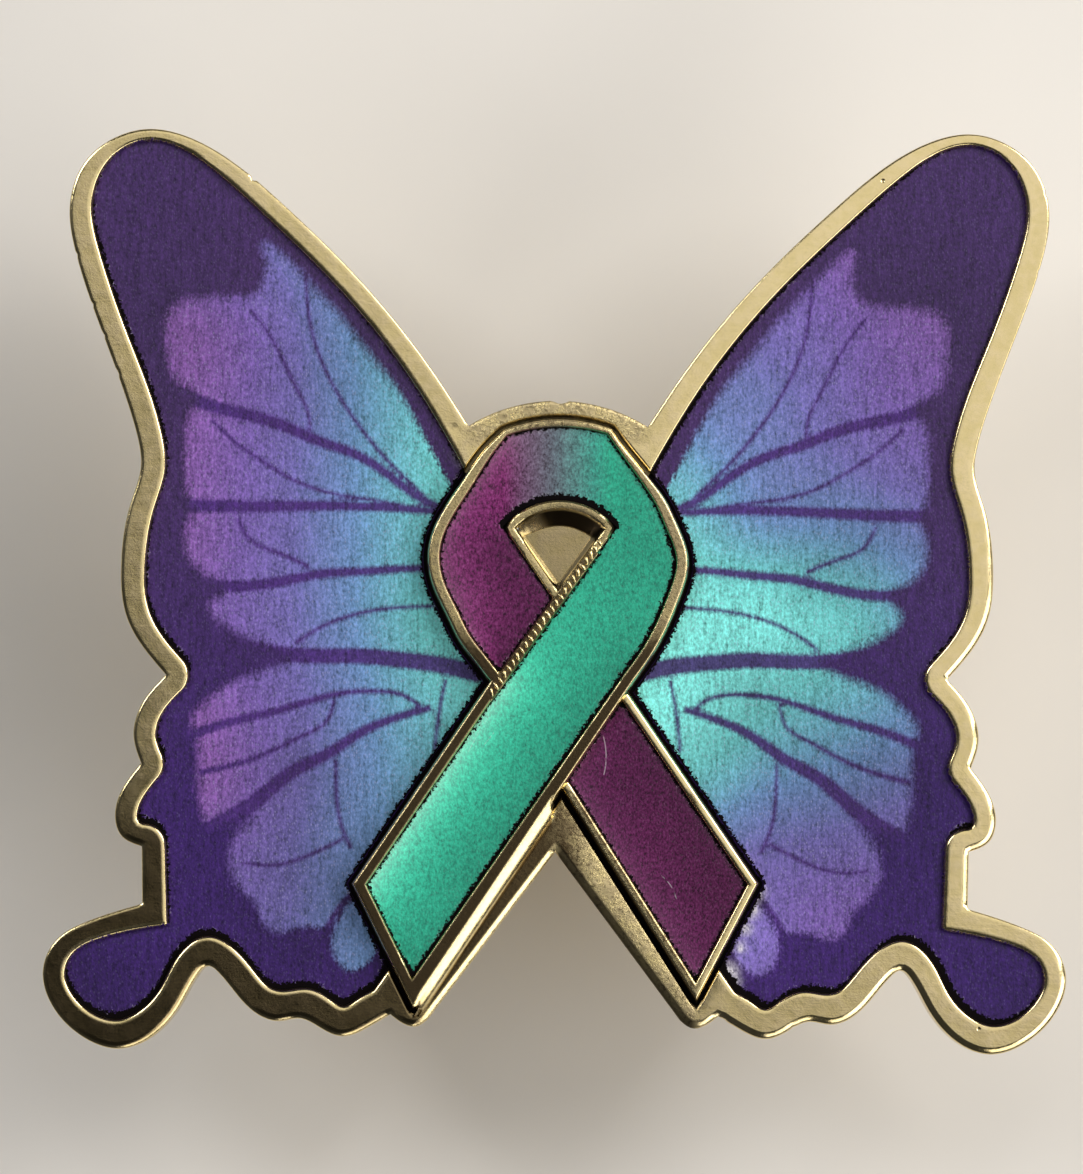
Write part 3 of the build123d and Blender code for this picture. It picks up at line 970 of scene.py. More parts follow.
def wing_material():
    """Printed wing: dark border, light cells and veins, fine grain, bare floor at its ragged edge."""
    material, graph, shader = new_material("wing_print")
    grain = graph.group("print_grain", {"Speck amount": 0.3})
    grit = grain.grain - 0.5
    cells = graph.ramp(grit * 0.15 + graph.attribute("tint"), {
        0.0: "cyan", 0.2: "teal", 0.45: "steel", 0.66: "violet_blue", 0.84: "violet", 1.0: "magenta"})
    dither = grit * 0.5
    soft = graph.attribute("soft")
    light = (graph.attribute("light") + dither).rise(soft * -1.0, soft)
    open_cell = (graph.attribute("vein") + dither * 0.4).rise(-0.1, 0.12, 0.04, 1.0)
    paint = graph.mix(open_cell, colour("vein"), cells)
    paint = graph.mix(light, graph.group("border_ink", {}).ink, paint)
    level = graph.math("MAXIMUM", grit * 2.8 + 1.04, 0.3) * graph.attribute("shade")
    # Painted glints: bright dots mixed into the print for its sparkle
    painted_shine = grain.specks * (light * open_cell * 0.2 + 0.06)
    paint = graph.mix(painted_shine, graph.dimmed(paint, level), PRINT_GLINT)
    residue = graph.attribute("residue") * (grit * 4.0 + 0.9)
    paint = graph.mix(graph.math("MULTIPLY", residue, 0.95, clamp=True), paint, WHITISH)
    edge = grain.jag * PRINT_JAG + graph.attribute("margin")
    fringe = edge.rise(0.07, 0.0) * grit.rise(0.05, 0.13)
    paint = graph.mix(fringe * 0.5, paint, PRINT_FRINGE)
    bump = graph.bump(grain.height, 0.6, 0.00002)
    printed_shader(graph, shader, paint, edge.rise(0.0, PRINT_END), 0.25, grit * 0.5 + 0.5, bump)
    return material


def ribbon_material():
    """Enamel of the ribbon: plum running into teal, grainy, with ragged edges and scratches, and painted
    light: painted shade, painted sheen and painted glints.
    """
    material, graph, shader = new_material("ribbon_enamel")
    grain = graph.group("print_grain", {"Grains per mm": 11.0, "Speck amount": 0.35, "Line amount": 0.12})
    grit = grain.grain - 0.5
    teal = graph.attribute("teal")
    enamel = graph.ramp(grit * 0.25 + teal, {
        0.0: "ribbon_plum", 0.18: "ribbon_mauve", 0.33: "ribbon_grey", 0.5: "ribbon_slate",
        0.7: "ribbon_sage", 0.85: "ribbon_sea", 1.0: "ribbon_teal"})
    cloud = graph.noise(graph.millimetres(), 0.5)
    level = ((cloud - 0.5) * 0.3 + 1.0) * graph.attribute("shade") * (grit * (teal * -2.6 + 5.0) + 1.0)
    enamel = graph.dimmed(enamel, graph.math("MAXIMUM", level, 0.12))
    # Painted glints, and a painted sheen along the left edges, mixed in pale with the scratches
    painted_shine = grain.specks * 0.03 + graph.attribute("haze") * 0.3
    rub = graph.noise(graph.millimetres(), 3.0, 2.0, 0.6)
    scratch = graph.attribute("scratch").rise(0.03, 0.008) * rub.rise(0.35, 0.5)
    enamel = graph.mix(graph.math("MAXIMUM", painted_shine, scratch * 0.3), enamel, ENAMEL_SCRATCH_AND_SHINE)
    edge = grain.jag * PRINT_JAG + graph.attribute("margin")
    fringe = edge.rise(0.08, 0.0) * grit.rise(0.04, 0.12)
    enamel = graph.mix(fringe * 0.4, enamel, ENAMEL_FRINGE)
    bump = graph.bump(grain.height, 0.5, 0.000015)
    printed_shader(graph, shader, enamel, edge.rise(0.0, PRINT_END), 0.18, grit * 0.3 + 0.42, bump)
    return material


def table_material():
    """The plain pale surface, with a very faint grain."""
    material, graph, shader = new_material("pale_surface")
    level = graph.noise(graph.millimetres(), 0.04, 3.0).rise(0.3, 0.7, 0.97, 1.02)
    graph.fill(shader, {"Base Color": graph.dimmed(colour("table"), level), "Roughness": 0.7})
    return material


def vee_share(at):
    """1 on the rims of the vee between the ribbon's legs, 0 away from them."""
    return ramp(VEE_HALF - np.abs(at.x), 0.4) * ramp(up(VEE_TOP) - at.y, 0.3)


def bevel_share(at):
    """1 along the front band's bevel left of the vee, 0 away from it."""
    return vee_share(at) * ramp(BEVEL_END + at.x, 0.2) * ramp(-at.x - 0.06, 0.1)


def casting_height(at):
    """The height of the casting's face above the recess floor, in mm."""
    size, plate, front, back = at.size, at.plate, at.front, at.back
    wall = size.wall_run
    bevel = bevel_share(at)
    aside, below = (
        ramp(plate - depth_inside(at.points + shift, at.outlines.plate), 0.1)
        for shift in ((0.08, -0.06), (0.0, -0.1)))
    facing = np.maximum(aside, below * ramp(at.x - 4.5, 1.0)) * ramp(7 - at.y, 8)
    metal = size.rim_height - rounded(plate, *PLATE_EDGE)
    metal -= facing * size.edge_fall * (1 - ramp(plate, size.edge_round))
    metal -= vee_share(at) * (at.x > 0) * VEE_FALL * (1 - ramp(plate, VEE_SLOPE))
    metal = metal - rounded(-at.recess, *RECESS_EDGE) - rounded(at.beside, *GROOVE_EDGE)
    ground = metal * (1 - ramp(at.recess, wall)) * (1 - ramp(-at.beside, 0.04))
    back_rim = size.back_height - rounded(back, *BACK_EDGE) - rounded(-at.back_field, *BACK_FIELD_EDGE)
    back_top = blend(back_rim, size.back_height - size.field_depth, ramp(at.back_field, FIELD_WALL))
    height = blend(ground, back_top, ramp(back + wall, wall))
    edge = front + BEVEL_REACH * bevel
    front_rim = size.front_height - rounded(edge, blend(0.1, 0.25, bevel), blend(0.08, 0.13, bevel))
    front_rim -= bevel * BEVEL_FALL * ramp(BEVEL_START - front, BEVEL_START + BEVEL_REACH)
    front_rim -= rounded(-at.front_field, *FRONT_FIELD_EDGE)
    front_rim -= rounded(-at.window, *POCKET_EDGE)
    front_top = blend(front_rim, size.front_height - size.field_depth, ramp(at.front_field, FIELD_WALL))
    share = np.maximum(at.window, 0) / np.maximum(at.window + np.maximum(-at.pocket, 0), 1e-6)
    lip = POCKET_EDGE[1]
    sunk = size.front_height - lip - (size.pocket_depth - lip) * share
    height = blend(height, np.where(at.window > 0, sunk, front_top), ramp(edge + wall, wall))
    for away, depth in spots(at.points, PITS):
        height -= depth * np.exp(-2.5 * away**2) * (front < 0)
    return height


def casting_lines(outlines):
    """The lines of the casting's face: families of lines beside each outline, at some depths in it."""
    size = outlines.size
    wall, groove, slope, ridge = size.wall_run, size.groove, size.edge_round, size.window_rim
    recess = (-0.2, -0.12, -0.06, -0.02, 0.0, wall)
    band = (-groove - 0.1, -groove - 0.04, -groove, 0.04 - groove, -wall, 0.0, 0.03, 0.06)
    field = (-0.1, -0.07, -0.03, 0.0, 0.05)
    families = [
        (outlines.plate, (0.0, 0.015, 0.05, 0.14, slope - 0.02, slope + 0.01, slope + 0.04)),
        (outlines.plate, (VEE_SLOPE - 0.01, VEE_SLOPE + 0.02, 0.5)),
        (outlines.right, recess),
        (outlines.left, recess),
        (outlines.back, band),
        (outlines.front, band),
        (outlines.back, (-VEE_SHADE - 0.04, -VEE_SHADE, 0.11)),
        (outlines.front, (-BEVEL_REACH - wall, -BEVEL_REACH, 0.03 - BEVEL_REACH, 0.1 - BEVEL_REACH)),
        (outlines.front, (0.18 - BEVEL_REACH, 0.26 - BEVEL_REACH)),
        (outlines.front, (BEVEL_START - 0.02, BEVEL_START + 0.01, BEVEL_START + 0.04)),
        (moved_in(outlines.back, size.back_rim), field),
        (outlines.inner, field),
        (outlines.window, (-ridge - 0.05, -ridge, 0.06 - ridge, 0.12 - ridge, -0.12, -0.06, 0.0, 0.05)),
        (outlines.crossing, (-0.12, -0.06, 0.0, 0.05)),
        (outlines.pocket, (-0.05, 0.0)),
    ]
    return [moved_in(outline, depth) for outline, depths in families for depth in depths]


def build_casting(outlines):
    """Points, faces and attributes of the casting: its face, its edge and its back."""
    size = outlines.size
    creases = [place([WINDOW[side][0], POCKET_FLOOR[side][0]]) for side in WINDOW]
    flat, faces = triangulate(casting_lines(outlines), creases)
    flat, faces = kept(flat, faces, At(outlines, flat[faces].mean(axis=1)).plate > 0)
    at = At(outlines, flat)
    height = casting_height(at)
    rim = border_loop(faces)
    follow = dict(rim.tolist())
    order = [rim[0][0]]
    while follow[order[-1]] != order[0]:
        order.append(follow[order[-1]])
    if len(order) != len(rim):
        raise RuntimeError("the casting's edge isn't one loop")
    ring = flat[order]
    edge = ring[::-1]
    below, sheet = triangulate([ring] + [moved_in(edge, depth)[::-1] for depth in (0.05, 0.14)])
    sheet = sheet[depth_inside(below[sheet].mean(axis=1), edge) > 0]
    fall = rounded(np.maximum(depth_inside(below, edge), 0), *PLATE_BACK_EDGE)
    top = np.column_stack([flat, height + size.floor])
    low = np.column_stack([below, size.floor - size.floor_thickness + fall])
    near = {tuple(np.round(point, 5)): i for i, point in enumerate(below)}
    foot = [len(top) + near[tuple(np.round(point, 5))] for point in ring]
    sides = zip(order, order[1:] + order[:1], foot, foot[1:] + foot[:1])
    faces = [tuple(face) for face in faces] + [tuple(face[::-1] + len(top)) for face in sheet]
    faces += [(b, a, low_a, low_b) for a, b, low_a, low_b in sides]
    printed = np.maximum(at.print_margin("left"), at.print_margin("right")) - 0.05
    # Painted shade and a painted highlight for the plating, its sandiness, and where the print runs over it
    values = {
        "hollow": (hollow_shade_share(at, height), 0.0), "porous": (porous_share(at), 0.25),
        "worn": (wear_and_shade_share(at), 0.0), "pale": (painted_highlight_share(at), 0.0),
        "printed": (np.where(at.beside > 0, printed, -1.0), -1.0),
    }
    values = {key: np.append(face, np.full(len(low), back)) for key, (face, back) in values.items()}
    return nicked(outlines, np.vstack([top, low])), faces, values


def nicked(outlines, points):
    """The casting's points with the nicks pressed into its outer edge."""
    for across, height, half, cut in NICKS:
        centre = place([(across, height)])[0]
        around = depth_inside(centre + [(0.05, 0), (-0.05, 0), (0, 0.05), (0, -0.05)], outlines.plate)
        inside = unit(around[::2] - around[1::2])
        away = points[:, :2] - centre
        depth = away @ inside
        share = np.clip(1 - (away @ inward(inside) / half) ** 2, 0, 1) * (1 - ramp(depth, NICK_REACH))
        points[:, :2] += inside * (cut * share * (depth > -NICK_REACH))[:, None]
    return points


def rim_middle(at):
    """1 on the flat middle of the front band's rims, 0 on their edges and on the bevel."""
    start = 0.05 + (BEVEL_START - 0.05) * bevel_share(at)
    return ramp(at.front - start, FADE) * ramp(-at.front_field - 0.05, 0.03)


def leg_share(at):
    """1 on the front band's leg, 0 on its loop."""
    return ramp(up(470) - at.y, 1.5)


def pocket_shade(at):
    """1 on the pocket's walls that are painted dark as shade, 0 on the left one, which catches the light and
    gets a painted highlight.
    """
    left, right = line_distance(at.points, WINDOW["left"]), line_distance(at.points, WINDOW["right"])
    return np.maximum(ramp(left - 0.7, 0.5), ramp(left - right - 0.03, 0.05))


def painted_highlight_share(at):
    """Painted highlight: 1 on the pocket's left wall, which catches the light and is painted palest."""
    return ramp(at.window, 0.05) * ramp(-at.pocket, 0.05) * (1 - pocket_shade(at))


def hollow_shade_share(at, height):
    """Painted shade: 1 where the metal is painted dark for shade in the recesses, grooves, pocket walls, front
    leg's rims, crossing line and beside the vee; 0 on clean metal.
    """
    dome = np.where((at.recess < 0) & (at.y > up(600)), 0.7, 1.0)
    ground = ramp(0.2 - height, 0.12) * (at.ribbon < 0) * dome
    field = ramp(np.maximum(at.front_field, at.back_field), FADE)
    wall = 0.93 * ramp(at.window + 0.02, FADE) * ramp(-at.pocket, FADE) * pocket_shade(at)
    dark = 0.5 * leg_share(at) * rim_middle(at)
    line = 0.45 * ramp(at.crossing, 0.06)
    right_of_vee = vee_share(at) * (at.x > 0.1) * (at.ribbon < 0)
    beside = 0.5 * right_of_vee * ramp(VEE_SHADE + FADE + at.ribbon, FADE)
    slope = 0.85 * right_of_vee * ramp(VEE_SLOPE - at.plate, FADE)
    return np.clip(ground + field + wall + np.maximum.reduce([dark, line, beside, slope]), 0, 1)


def porous_share(at):
    """1 where the casting is sandy: on the dome, beside the vee and on the crossing line."""
    dome = ramp(at.y - up(655), 0.5) * ramp(3.6 - np.abs(at.x), 0.5)
    vee = vee_share(at) * (0.35 + 0.65 * (at.x > 0))
    line = ramp(at.crossing + 0.05, 0.1)
    rims = 0.6 * ramp(at.front + 0.05, 0.1) * (at.window < 0)
    return np.clip(np.maximum.reduce([dome, vee, line, rims]), 0.08, 1)


def wear_and_shade_share(at):
    """How far the metal is painted brown: painted shade on the ribbon's rims, beside the vee, low on the left
    and in the pocket, and brown wear on the crossing line.
    """
    vee = vee_share(at)
    rims = (0.25 + 0.75 * leg_share(at)) * rim_middle(at)
    line = 0.8 * ramp(at.crossing + 0.05, 0.1)
    apex = 0.75 * vee * ramp(1.4 - np.abs(at.x), 1.0) * (at.ribbon < -0.05)
    bevel = np.maximum(apex, bevel_share(at)) * ramp(at.plate - at.size.edge_round, 0.03)
    bevel = np.where(at.x < 0, bevel * ramp(-at.front - BEVEL_REACH, FADE), bevel)
    beside = vee * (at.x > 0.1) * ramp(VEE_SHADE + FADE + at.back, FADE) * (at.back < FADE)
    leg = 0.8 * vee * ramp(at.back - 0.13, 0.03) * ramp(at.size.back_rim - 0.05 - at.back, 0.03)
    # Painted shade: the metal browner low on the left
    low = ramp(-5.5 - at.y, 4.0) * ramp(-4.6 - at.x, 0.6) * (at.ribbon < 0)
    low = 0.85 * low * ramp(-at.recess - 0.13, FADE) * ramp(at.plate - 0.06, FADE)
    outside = np.maximum.reduce([rims, line, bevel, beside, leg * (at.front < 0), low])
    return np.where(at.window > 0, blend(0.5, pocket_shade(at), ramp(-at.pocket, FADE)), outside)


def grid(outline, step):
    """Points a step apart over the box of an outline, every second row moved by half a step."""
    low, high = outline.min(axis=0), outline.max(axis=0)
    x, y = np.meshgrid(np.arange(low[0], high[0], step), np.arange(low[1], high[1], step))
    x[1::2] += step / 2
    return np.column_stack([x.ravel(), y.ravel()])


def largest_part(flat, faces):
    """The largest connected part of a flat mesh."""
    label = np.arange(len(flat))
    while True:
        after = label.copy()
        np.minimum.at(after, faces.ravel(), np.repeat(label[faces].min(axis=1), 3))
        after = after[after]
        if (after == label).all():
            break
        label = after
    names, counts = np.unique(label[faces[:, 0]], return_counts=True)
    return kept(flat, faces, label[faces[:, 0]] == names[counts.argmax()])


def field_sheet(outlines, field, box, edges, lines, clear):
    """The flat mesh of a colour field between its edges, its loose points clear of the metal."""
    loose = grid(box, outlines.size.print_step)
    loose = loose[getattr(At(outlines, loose), field) > clear]
    flat, faces = triangulate(edges, lines, loose)
    middle = At(outlines, flat[faces].mean(axis=1))
    inside = (getattr(middle, field) > FILL_GAP) & (middle.plate > 0)
    flat, faces = largest_part(*kept(flat, faces, inside))
    return At(outlines, flat), faces


def field_solid(node, at, faces, fall, values):
    """A colour field's solid between the heights of its node, with the values on its face and back."""
    low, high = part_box(node)
    points, sides = solid_from_top(at.points, faces, high[2] / MM - fall, low[2] / MM)
    return points, sides, {key: np.tile(value, 2) for key, value in values.items()}


def softened(rows):
    """A closed outline with its corners cut twice."""
    points = place(rows)
    for _ in range(2):
        after = np.roll(points, -1, axis=0)
        points = np.stack([points * 0.75 + after * 0.25, points * 0.25 + after * 0.75], axis=1).reshape(-1, 2)
    return points


def on_wing(points, side):
    """Points of the one printed design, as they lie on a wing."""
    x, y = points.T
    if side == "left":
        return np.column_stack([-x, y])
    across = RIGHT_PRINT_ACROSS * x + RIGHT_PRINT_SHIFT[0]
    return np.column_stack([across, y + RIGHT_PRINT_SLANT * x + RIGHT_PRINT_SHIFT[1]])


def vein_distance(points, veins, widths):
    """The distance in mm from the nearest vein's edge, negative inside a vein."""
    halves = [np.linspace(*ends, len(line)) / 2 for line, ends in zip(veins, widths)]
    starts, ends = np.vstack([line[:-1] for line in veins]), np.vstack([line[1:] for line in veins])
    first, second = np.concatenate([w[:-1] for w in halves]), np.concatenate([w[1:] for w in halves])
    return segment_distance(points, starts, ends, (first, second))


def tint_at(points, side):
    """How far the light colour has run from cyan to magenta: a smooth surface through the table's rows."""
    rows = np.array(LEFT_TINT if side == "left" else RIGHT_TINT)
    places = place(rows) * ((-1, 1) if side == "left" else (1, 1))
    tints = rows[:, 2] / 100

    def reach(here):
        return np.sqrt(((here[:, None] - places) ** 2).sum(2) + 1.0)

    shares = np.linalg.solve(reach(places) - 0.15 * np.eye(len(rows)), tints - tints.mean())
    return np.clip(reach(points) @ shares + tints.mean(), 0, 1)


def build_wing(outlines, side):
    """Points, faces and attributes of one wing's colour field."""
    recess = getattr(outlines, side)
    edges = [moved_in(recess, FILL_GAP)]
    for band in (outlines.front, outlines.back):
        edges.append(moved_in(band, -outlines.size.groove - FILL_GAP))
    veins = [on_wing(sampled(place(rows), 0.12), side) for _, _, rows in VEINS]
    at, faces = field_sheet(outlines, f"{side}_field", recess, edges, veins, 0.05)
    light = np.full(len(at.points), -9.0)
    for rows in LIGHT_AREAS.values():
        area = on_wing(softened(rows), side)
        light = np.maximum(light, depth_inside(at.points, area[::-1] if side == "left" else area))
    clouds, residue = np.ones(len(at.points)), np.zeros(len(at.points))
    for away, darker in spots(at.points, PRINT_CLOUDS):
        clouds *= 1 - darker * np.exp(-(away**2))
    for away, _ in spots(at.points, RESIDUE):
        residue = np.maximum(residue, np.exp(-(away**2)))
    fall = rounded(getattr(at, f"{side}_field"), *PRINT_EDGE)
    return field_solid(f"{side}_wing_fill", at, faces, fall, {
        "margin": np.minimum(at.print_margin(side), at.beside - 0.1), "light": light,
        "vein": vein_distance(at.points, veins, [row[:2] for row in VEINS]),
        "tint": tint_at(at.points, side), "soft": 0.08 + 0.22 * ramp(at.beside, 5.0),
        "residue": residue, "shade": clouds,
    })


def teal_share(at):
    """0 on the plum side of the ribbon, 1 on the teal side, between them above the pocket."""
    top, _, along = crossing_line()
    above = ramp(at.y - place(WINDOW["top"])[0, 1] + 0.3, 0.6)
    across = ramp(at.x + 2.0, 4.0) * np.maximum(above, at.x > 1.0)
    return np.where((at.points - top) @ inward(along) < 0, 1.0, across)


def enamel_margin(at):
    """The distance in mm inside the enamel's edge, which stays further off some of the rims."""
    right = FRONT_BAND["loop right"][7:] + FRONT_BAND["right edge"]
    off = np.where(line_distance(at.points, right) < 1.3, 0.14, 0.07)
    pocket_top = np.hypot(*(at.points - place([(4, 520)])[0]).T) - 2.87
    return np.minimum(at.front_field - off, np.where(at.y > up(566), pocket_top, 9.0))


def across_band(at, left, right):
    """How far points are from one open line to another, 0 to 1."""
    near, far = line_distance(at.points, left), line_distance(at.points, right)
    edge = at.size.band_rim
    return np.clip((near - edge) / np.maximum(near + far - 2 * edge, 0.1), 0, 1)


def leg_shade(at):
    """Painted light on the back leg's enamel, which is also darker than the loop's: its shade, lightest along
    its left edge and darker to the right, and a painted sheen along that edge.
    """
    share = across_band(at, BACK_BAND["left edge"] + BACK_BAND["crossing"][1:], BACK_BAND["right edge"])
    return np.interp(share, [0, 0.15, 0.4, 1], [0.66, 0.54, 0.46, 0.33]), 0.12 * np.exp(-9 * share)


def loop_shade(at):
    """Painted light on the enamel of the loop and front leg: its shade, lightest along the left edges and
    darker to the right, and a painted sheen along the left edges.
    """
    leg = across_band(at, FRONT_BAND["left leg"], FRONT_BAND["right edge"])
    plum = across_band(at, FRONT_BAND["loop left"], WINDOW["left"][::-1] + CROSSING_LINE[1:])
    leg_shades = np.interp(leg, [0, 0.17, 0.33, 0.5, 0.67, 0.95], [1.6, 1.25, 1.02, 0.84, 0.72, 0.52])
    shades = np.interp(plum, [0, 0.25, 0.5, 0.75, 1], [1.02, 0.86, 0.68, 0.5, 0.42])
    shades = blend(0.94, shades, ramp(up(600) - at.y, 2.0))
    crossed = teal_share(at) * (at.y < up(560))
    right = ramp(at.x - 0.8, 1.8) * ramp(at.y - up(440), 3.0)
    haze = blend(np.exp(-7 * plum) * 0.25, np.exp(-9 * leg), crossed) * (1 - right)
    return blend(blend(shades, leg_shades, crossed), 0.62, right), haze


def build_ribbon(outlines, name):
    """Points, faces and attributes of one of the ribbon's colour fields."""
    size, front = outlines.size, name == "ribbon_loop_fill"
    scratches = [sampled(place(rows), 0.1) for rows in ENAMEL_SCRATCHES]
    if front:
        edges = [moved_in(outlines.inner, FILL_GAP), moved_in(outlines.window, -size.window_rim - FILL_GAP)]
        edges.append(crossing_outline(size.mesh_step, FILL_GAP))
        field, box = "front_field", outlines.front
    else:
        edges = [moved_in(outlines.back, size.back_rim + FILL_GAP), moved_in(outlines.front, -FILL_GAP)]
        field, box = "back_field", outlines.back
    at, faces = field_sheet(outlines, field, box, edges, scratches, 0.06)
    depth = getattr(at, field)
    light, haze = loop_shade(at) if front else leg_shade(at)
    return field_solid(name, at, faces, rounded(depth, *ENAMEL_EDGE), {
        "margin": enamel_margin(at) if front else depth - 0.08,
        "teal": teal_share(at) if front else np.zeros(len(depth)), "shade": light, "haze": haze,
        "scratch": vein_distance(at.points, scratches, [(0.0, 0.0)] * len(scratches)),
    })


def tool_mark_tree():
    """Geometry nodes: short ridges repeated along a straight line, each a little different."""
    tree = bpy.data.node_groups.new("tool_marks", "GeometryNodeTree")
    graph = Graph(tree)
    inputs = {
        "Ridge": "Geometry", "Count": "Int", "Start": "Vector", "End": "Vector", "Turn": "Float",
        "Seed": "Int", "Material": "Material"}
    for key, kind in inputs.items():
        tree.interface.new_socket(name=key, in_out="INPUT", socket_type=f"NodeSocket{kind}")
    tree.interface.new_socket(name="Geometry", in_out="OUTPUT", socket_type="NodeSocketGeometry")
    outputs = graph.add("NodeGroupInput", {}).outputs
    given = {key: Value(graph, outputs[key]) for key in inputs}
    seed = {"Seed": given["Seed"]}
    line = graph.value("GeometryNodeMeshLine", {
        "Count": given["Count"], "Start Location": given["Start"], "Offset": given["End"]}, mode="END_POINTS")
    swing = graph.value("FunctionNodeRandomValue", {2: -0.35, 3: 0.35, **seed}, 1, data_type="FLOAT")
    facing = graph.value("ShaderNodeCombineXYZ", {2: swing + given["Turn"]})
    size = graph.value("FunctionNodeRandomValue", {
        0: (0.75, 0.75, 0.6), 1: (1.05, 1.25, 1.0), **seed}, data_type="FLOAT_VECTOR")
    spread = graph.value("GeometryNodeInstanceOnPoints", {
        "Points": line, "Instance": given["Ridge"], "Rotation": facing, "Scale": size})
    real = graph.value("GeometryNodeRealizeInstances", {0: spread})
    dressed = {"Geometry": real, "Material": given["Material"]}
    graph.add("NodeGroupOutput", {"Geometry": graph.value("GeometryNodeSetMaterial", dressed)})
    return tree


def ridge_mesh():
    """One short ridge with rounded ends, 0.4 mm long."""
    long, wide, high = 0.2, 0.1, 0.11
    rows = [(-1.0, 0.25), (-0.6, 0.9), (0.0, 1.0), (0.6, 0.9), (1.0, 0.25)]
    section = [(-1.0, -1.0), (-0.6, 0.55), (0.0, 1.0), (0.6, 0.55), (1.0, -1.0)]
    points = [
        (along * long, across * wide * share, height * high * share)
        for along, share in rows for across, height in section]
    count = len(section)
    faces = []
    for a in range(0, len(points) - count, count):
        for i in range(count):
            j = (i + 1) % count
            faces.append((a + i, a + count + i, a + count + j, a + j))
    faces += [tuple(range(count)), tuple(range(len(points) - 1, len(points) - count - 1, -1))]
    mesh = bpy.data.meshes.new("ridge")
    mesh.from_pydata([tuple(c * MM for c in point) for point in points], [], faces)
    bm = bmesh.new()
    bm.from_mesh(mesh)
    bmesh.ops.recalc_face_normals(bm, faces=bm.faces)
    bm.to_mesh(mesh)
    bm.free()
    mesh.shade_smooth()
    return mesh


def clutch_middle():
    """The middle of the clutch on the plan, in mm."""
    low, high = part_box("clutch")
    return [(low[i] + high[i]) / 2 / MM for i in range(2)]


class RIBBONPIN_OT_casting(bpy.types.Operator):
    """Build the plated casting with its rims, ribbon and post"""

    bl_idname = "ribbon_pin.casting"
    bl_label = "Casting"

    def execute(self, context):
        outlines = Outlines()
        points, faces, attributes = build_casting(outlines)
        back = outlines.size.floor - outlines.size.floor_thickness
        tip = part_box("cast_plate")[0][2] / MM
        profile = [
            (0.06, tip), (0.16, tip + 0.04), (0.5, tip + 0.95), (0.57, tip + 1.2), (0.57, back - 0.75),
            (0.66, back - 0.5), (1.1, back - 0.36), (1.55, back - 0.3), (1.7, back - 0.15), (1.7, back + 0.3),
        ]
        post, rings = revolved(profile, clutch_middle(), 48)
        faces = faces + [tuple(i + len(points) for i in ring) for ring in rings]
        on_post = {"hollow": 0.0, "porous": 0.1, "worn": 0.0, "pale": 0.0, "printed": -1.0}
        attributes = {
            key: np.append(values, np.full(len(post), on_post[key])) for key, values in attributes.items()}
        new_object(
            "casting", np.vstack([points, post]), faces, gold_material("pale_gold_plating", print_over=True),
            "gold_plate", ["cast_plate"], attributes)
        return {"FINISHED"}


class RIBBONPIN_OT_wings(bpy.types.Operator):
    """Build the printed colour fields of both wings"""

    bl_idname = "ribbon_pin.wings"
    bl_label = "Wing colour"

    def execute(self, context):
        outlines, material = Outlines(), wing_material()
        for side in ("left", "right"):
            points, faces, attributes = build_wing(outlines, side)
            new_object(
                f"{side}_wing_print", points, faces, material, "wing_colour", [f"{side}_wing_fill"],
                attributes)
        return {"FINISHED"}


class RIBBONPIN_OT_ribbon(bpy.types.Operator):
    """Build the enamelled colour fields of the ribbon"""

    bl_idname = "ribbon_pin.ribbon"
    bl_label = "Ribbon colour"

    def execute(self, context):
        outlines, material = Outlines(), ribbon_material()
        for node, slot in (("ribbon_loop_fill", "ribbon_colour"), ("ribbon_leg_fill", "ribbon_leg_colour")):
            points, faces, attributes = build_ribbon(outlines, node)
            new_object(node.replace("fill", "enamel"), points, faces, material, slot, [node], attributes)
        return {"FINISHED"}


class RIBBONPIN_OT_tool_marks(bpy.types.Operator):
    """Repeat small tool marks along the line where the ribbon crosses"""

    bl_idname = "ribbon_pin.tool_marks"
    bl_label = "Tool marks"

    def execute(self, context):
        size = sizes()
        top, foot, along = crossing_line()
        level = size.floor + size.front_height - 0.02
        maker = bpy.data.objects.new("crossing_tool_marks", ridge_mesh())
        context.collection.objects.link(maker)
        modifier = maker.modifiers.new("tool_marks", "NODES")
        modifier.node_group = tool_mark_tree()
        values = {
            "Count": size.tool_marks, "Seed": TOOL_MARK_SEED,
            "Material": gold_material("tool_mark_plating", 0.3),
            "Start": [c * MM for c in (*(top - along * 0.35), level)],
            "End": [c * MM for c in (*(foot - along * 0.25), level)],
            "Turn": math.atan2(along[1], along[0]) + math.radians(TOOL_MARK_TURN),
        }
        for socket in modifier.node_group.interface.items_tree:
            if socket.name in values:
                modifier[socket.identifier] = values[socket.name]
        context.view_layer.update()
        result = bpy.data.meshes.new_from_object(maker.evaluated_get(context.evaluated_depsgraph_get()))
        maker.modifiers.remove(modifier)
        maker.data = result
        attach(maker, "root")
        return {"FINISHED"}


class RIBBONPIN_OT_clutch(bpy.types.Operator):
    """Build the round clutch on the post"""

    bl_idname = "ribbon_pin.clutch"
    bl_label = "Clutch"

    def execute(self, context):
        low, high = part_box("clutch")
        radius, top = (high[0] - low[0]) / 2 / MM, high[2] / MM
        profile = [
            (radius - 0.9, 0.0), (radius - 0.35, 0.02), (radius - 0.12, 0.12), (radius, 0.4),
            (radius, 1.5), (radius - 0.12, 1.62), (radius - 0.12, 1.85), (radius, 1.97), (radius, 3.75),
            (radius - 0.07, 4.1), (radius - 0.27, 4.42), (radius - 0.6, 4.62), (radius - 0.95, 4.7),
            (3.2, 4.7), (3.1, 4.78), (3.1, 5.65), (3.02, 5.82), (2.85, top), (0.9, top), (0.72, top - 0.1),
            (0.62, top - 0.3), (0.62, 0.8),
        ]
        points, faces = revolved(profile, clutch_middle())
        new_object("clutch_body", points, faces, gold_material("clutch_plating"), "clutch_metal", ["clutch"])
        return {"FINISHED"}


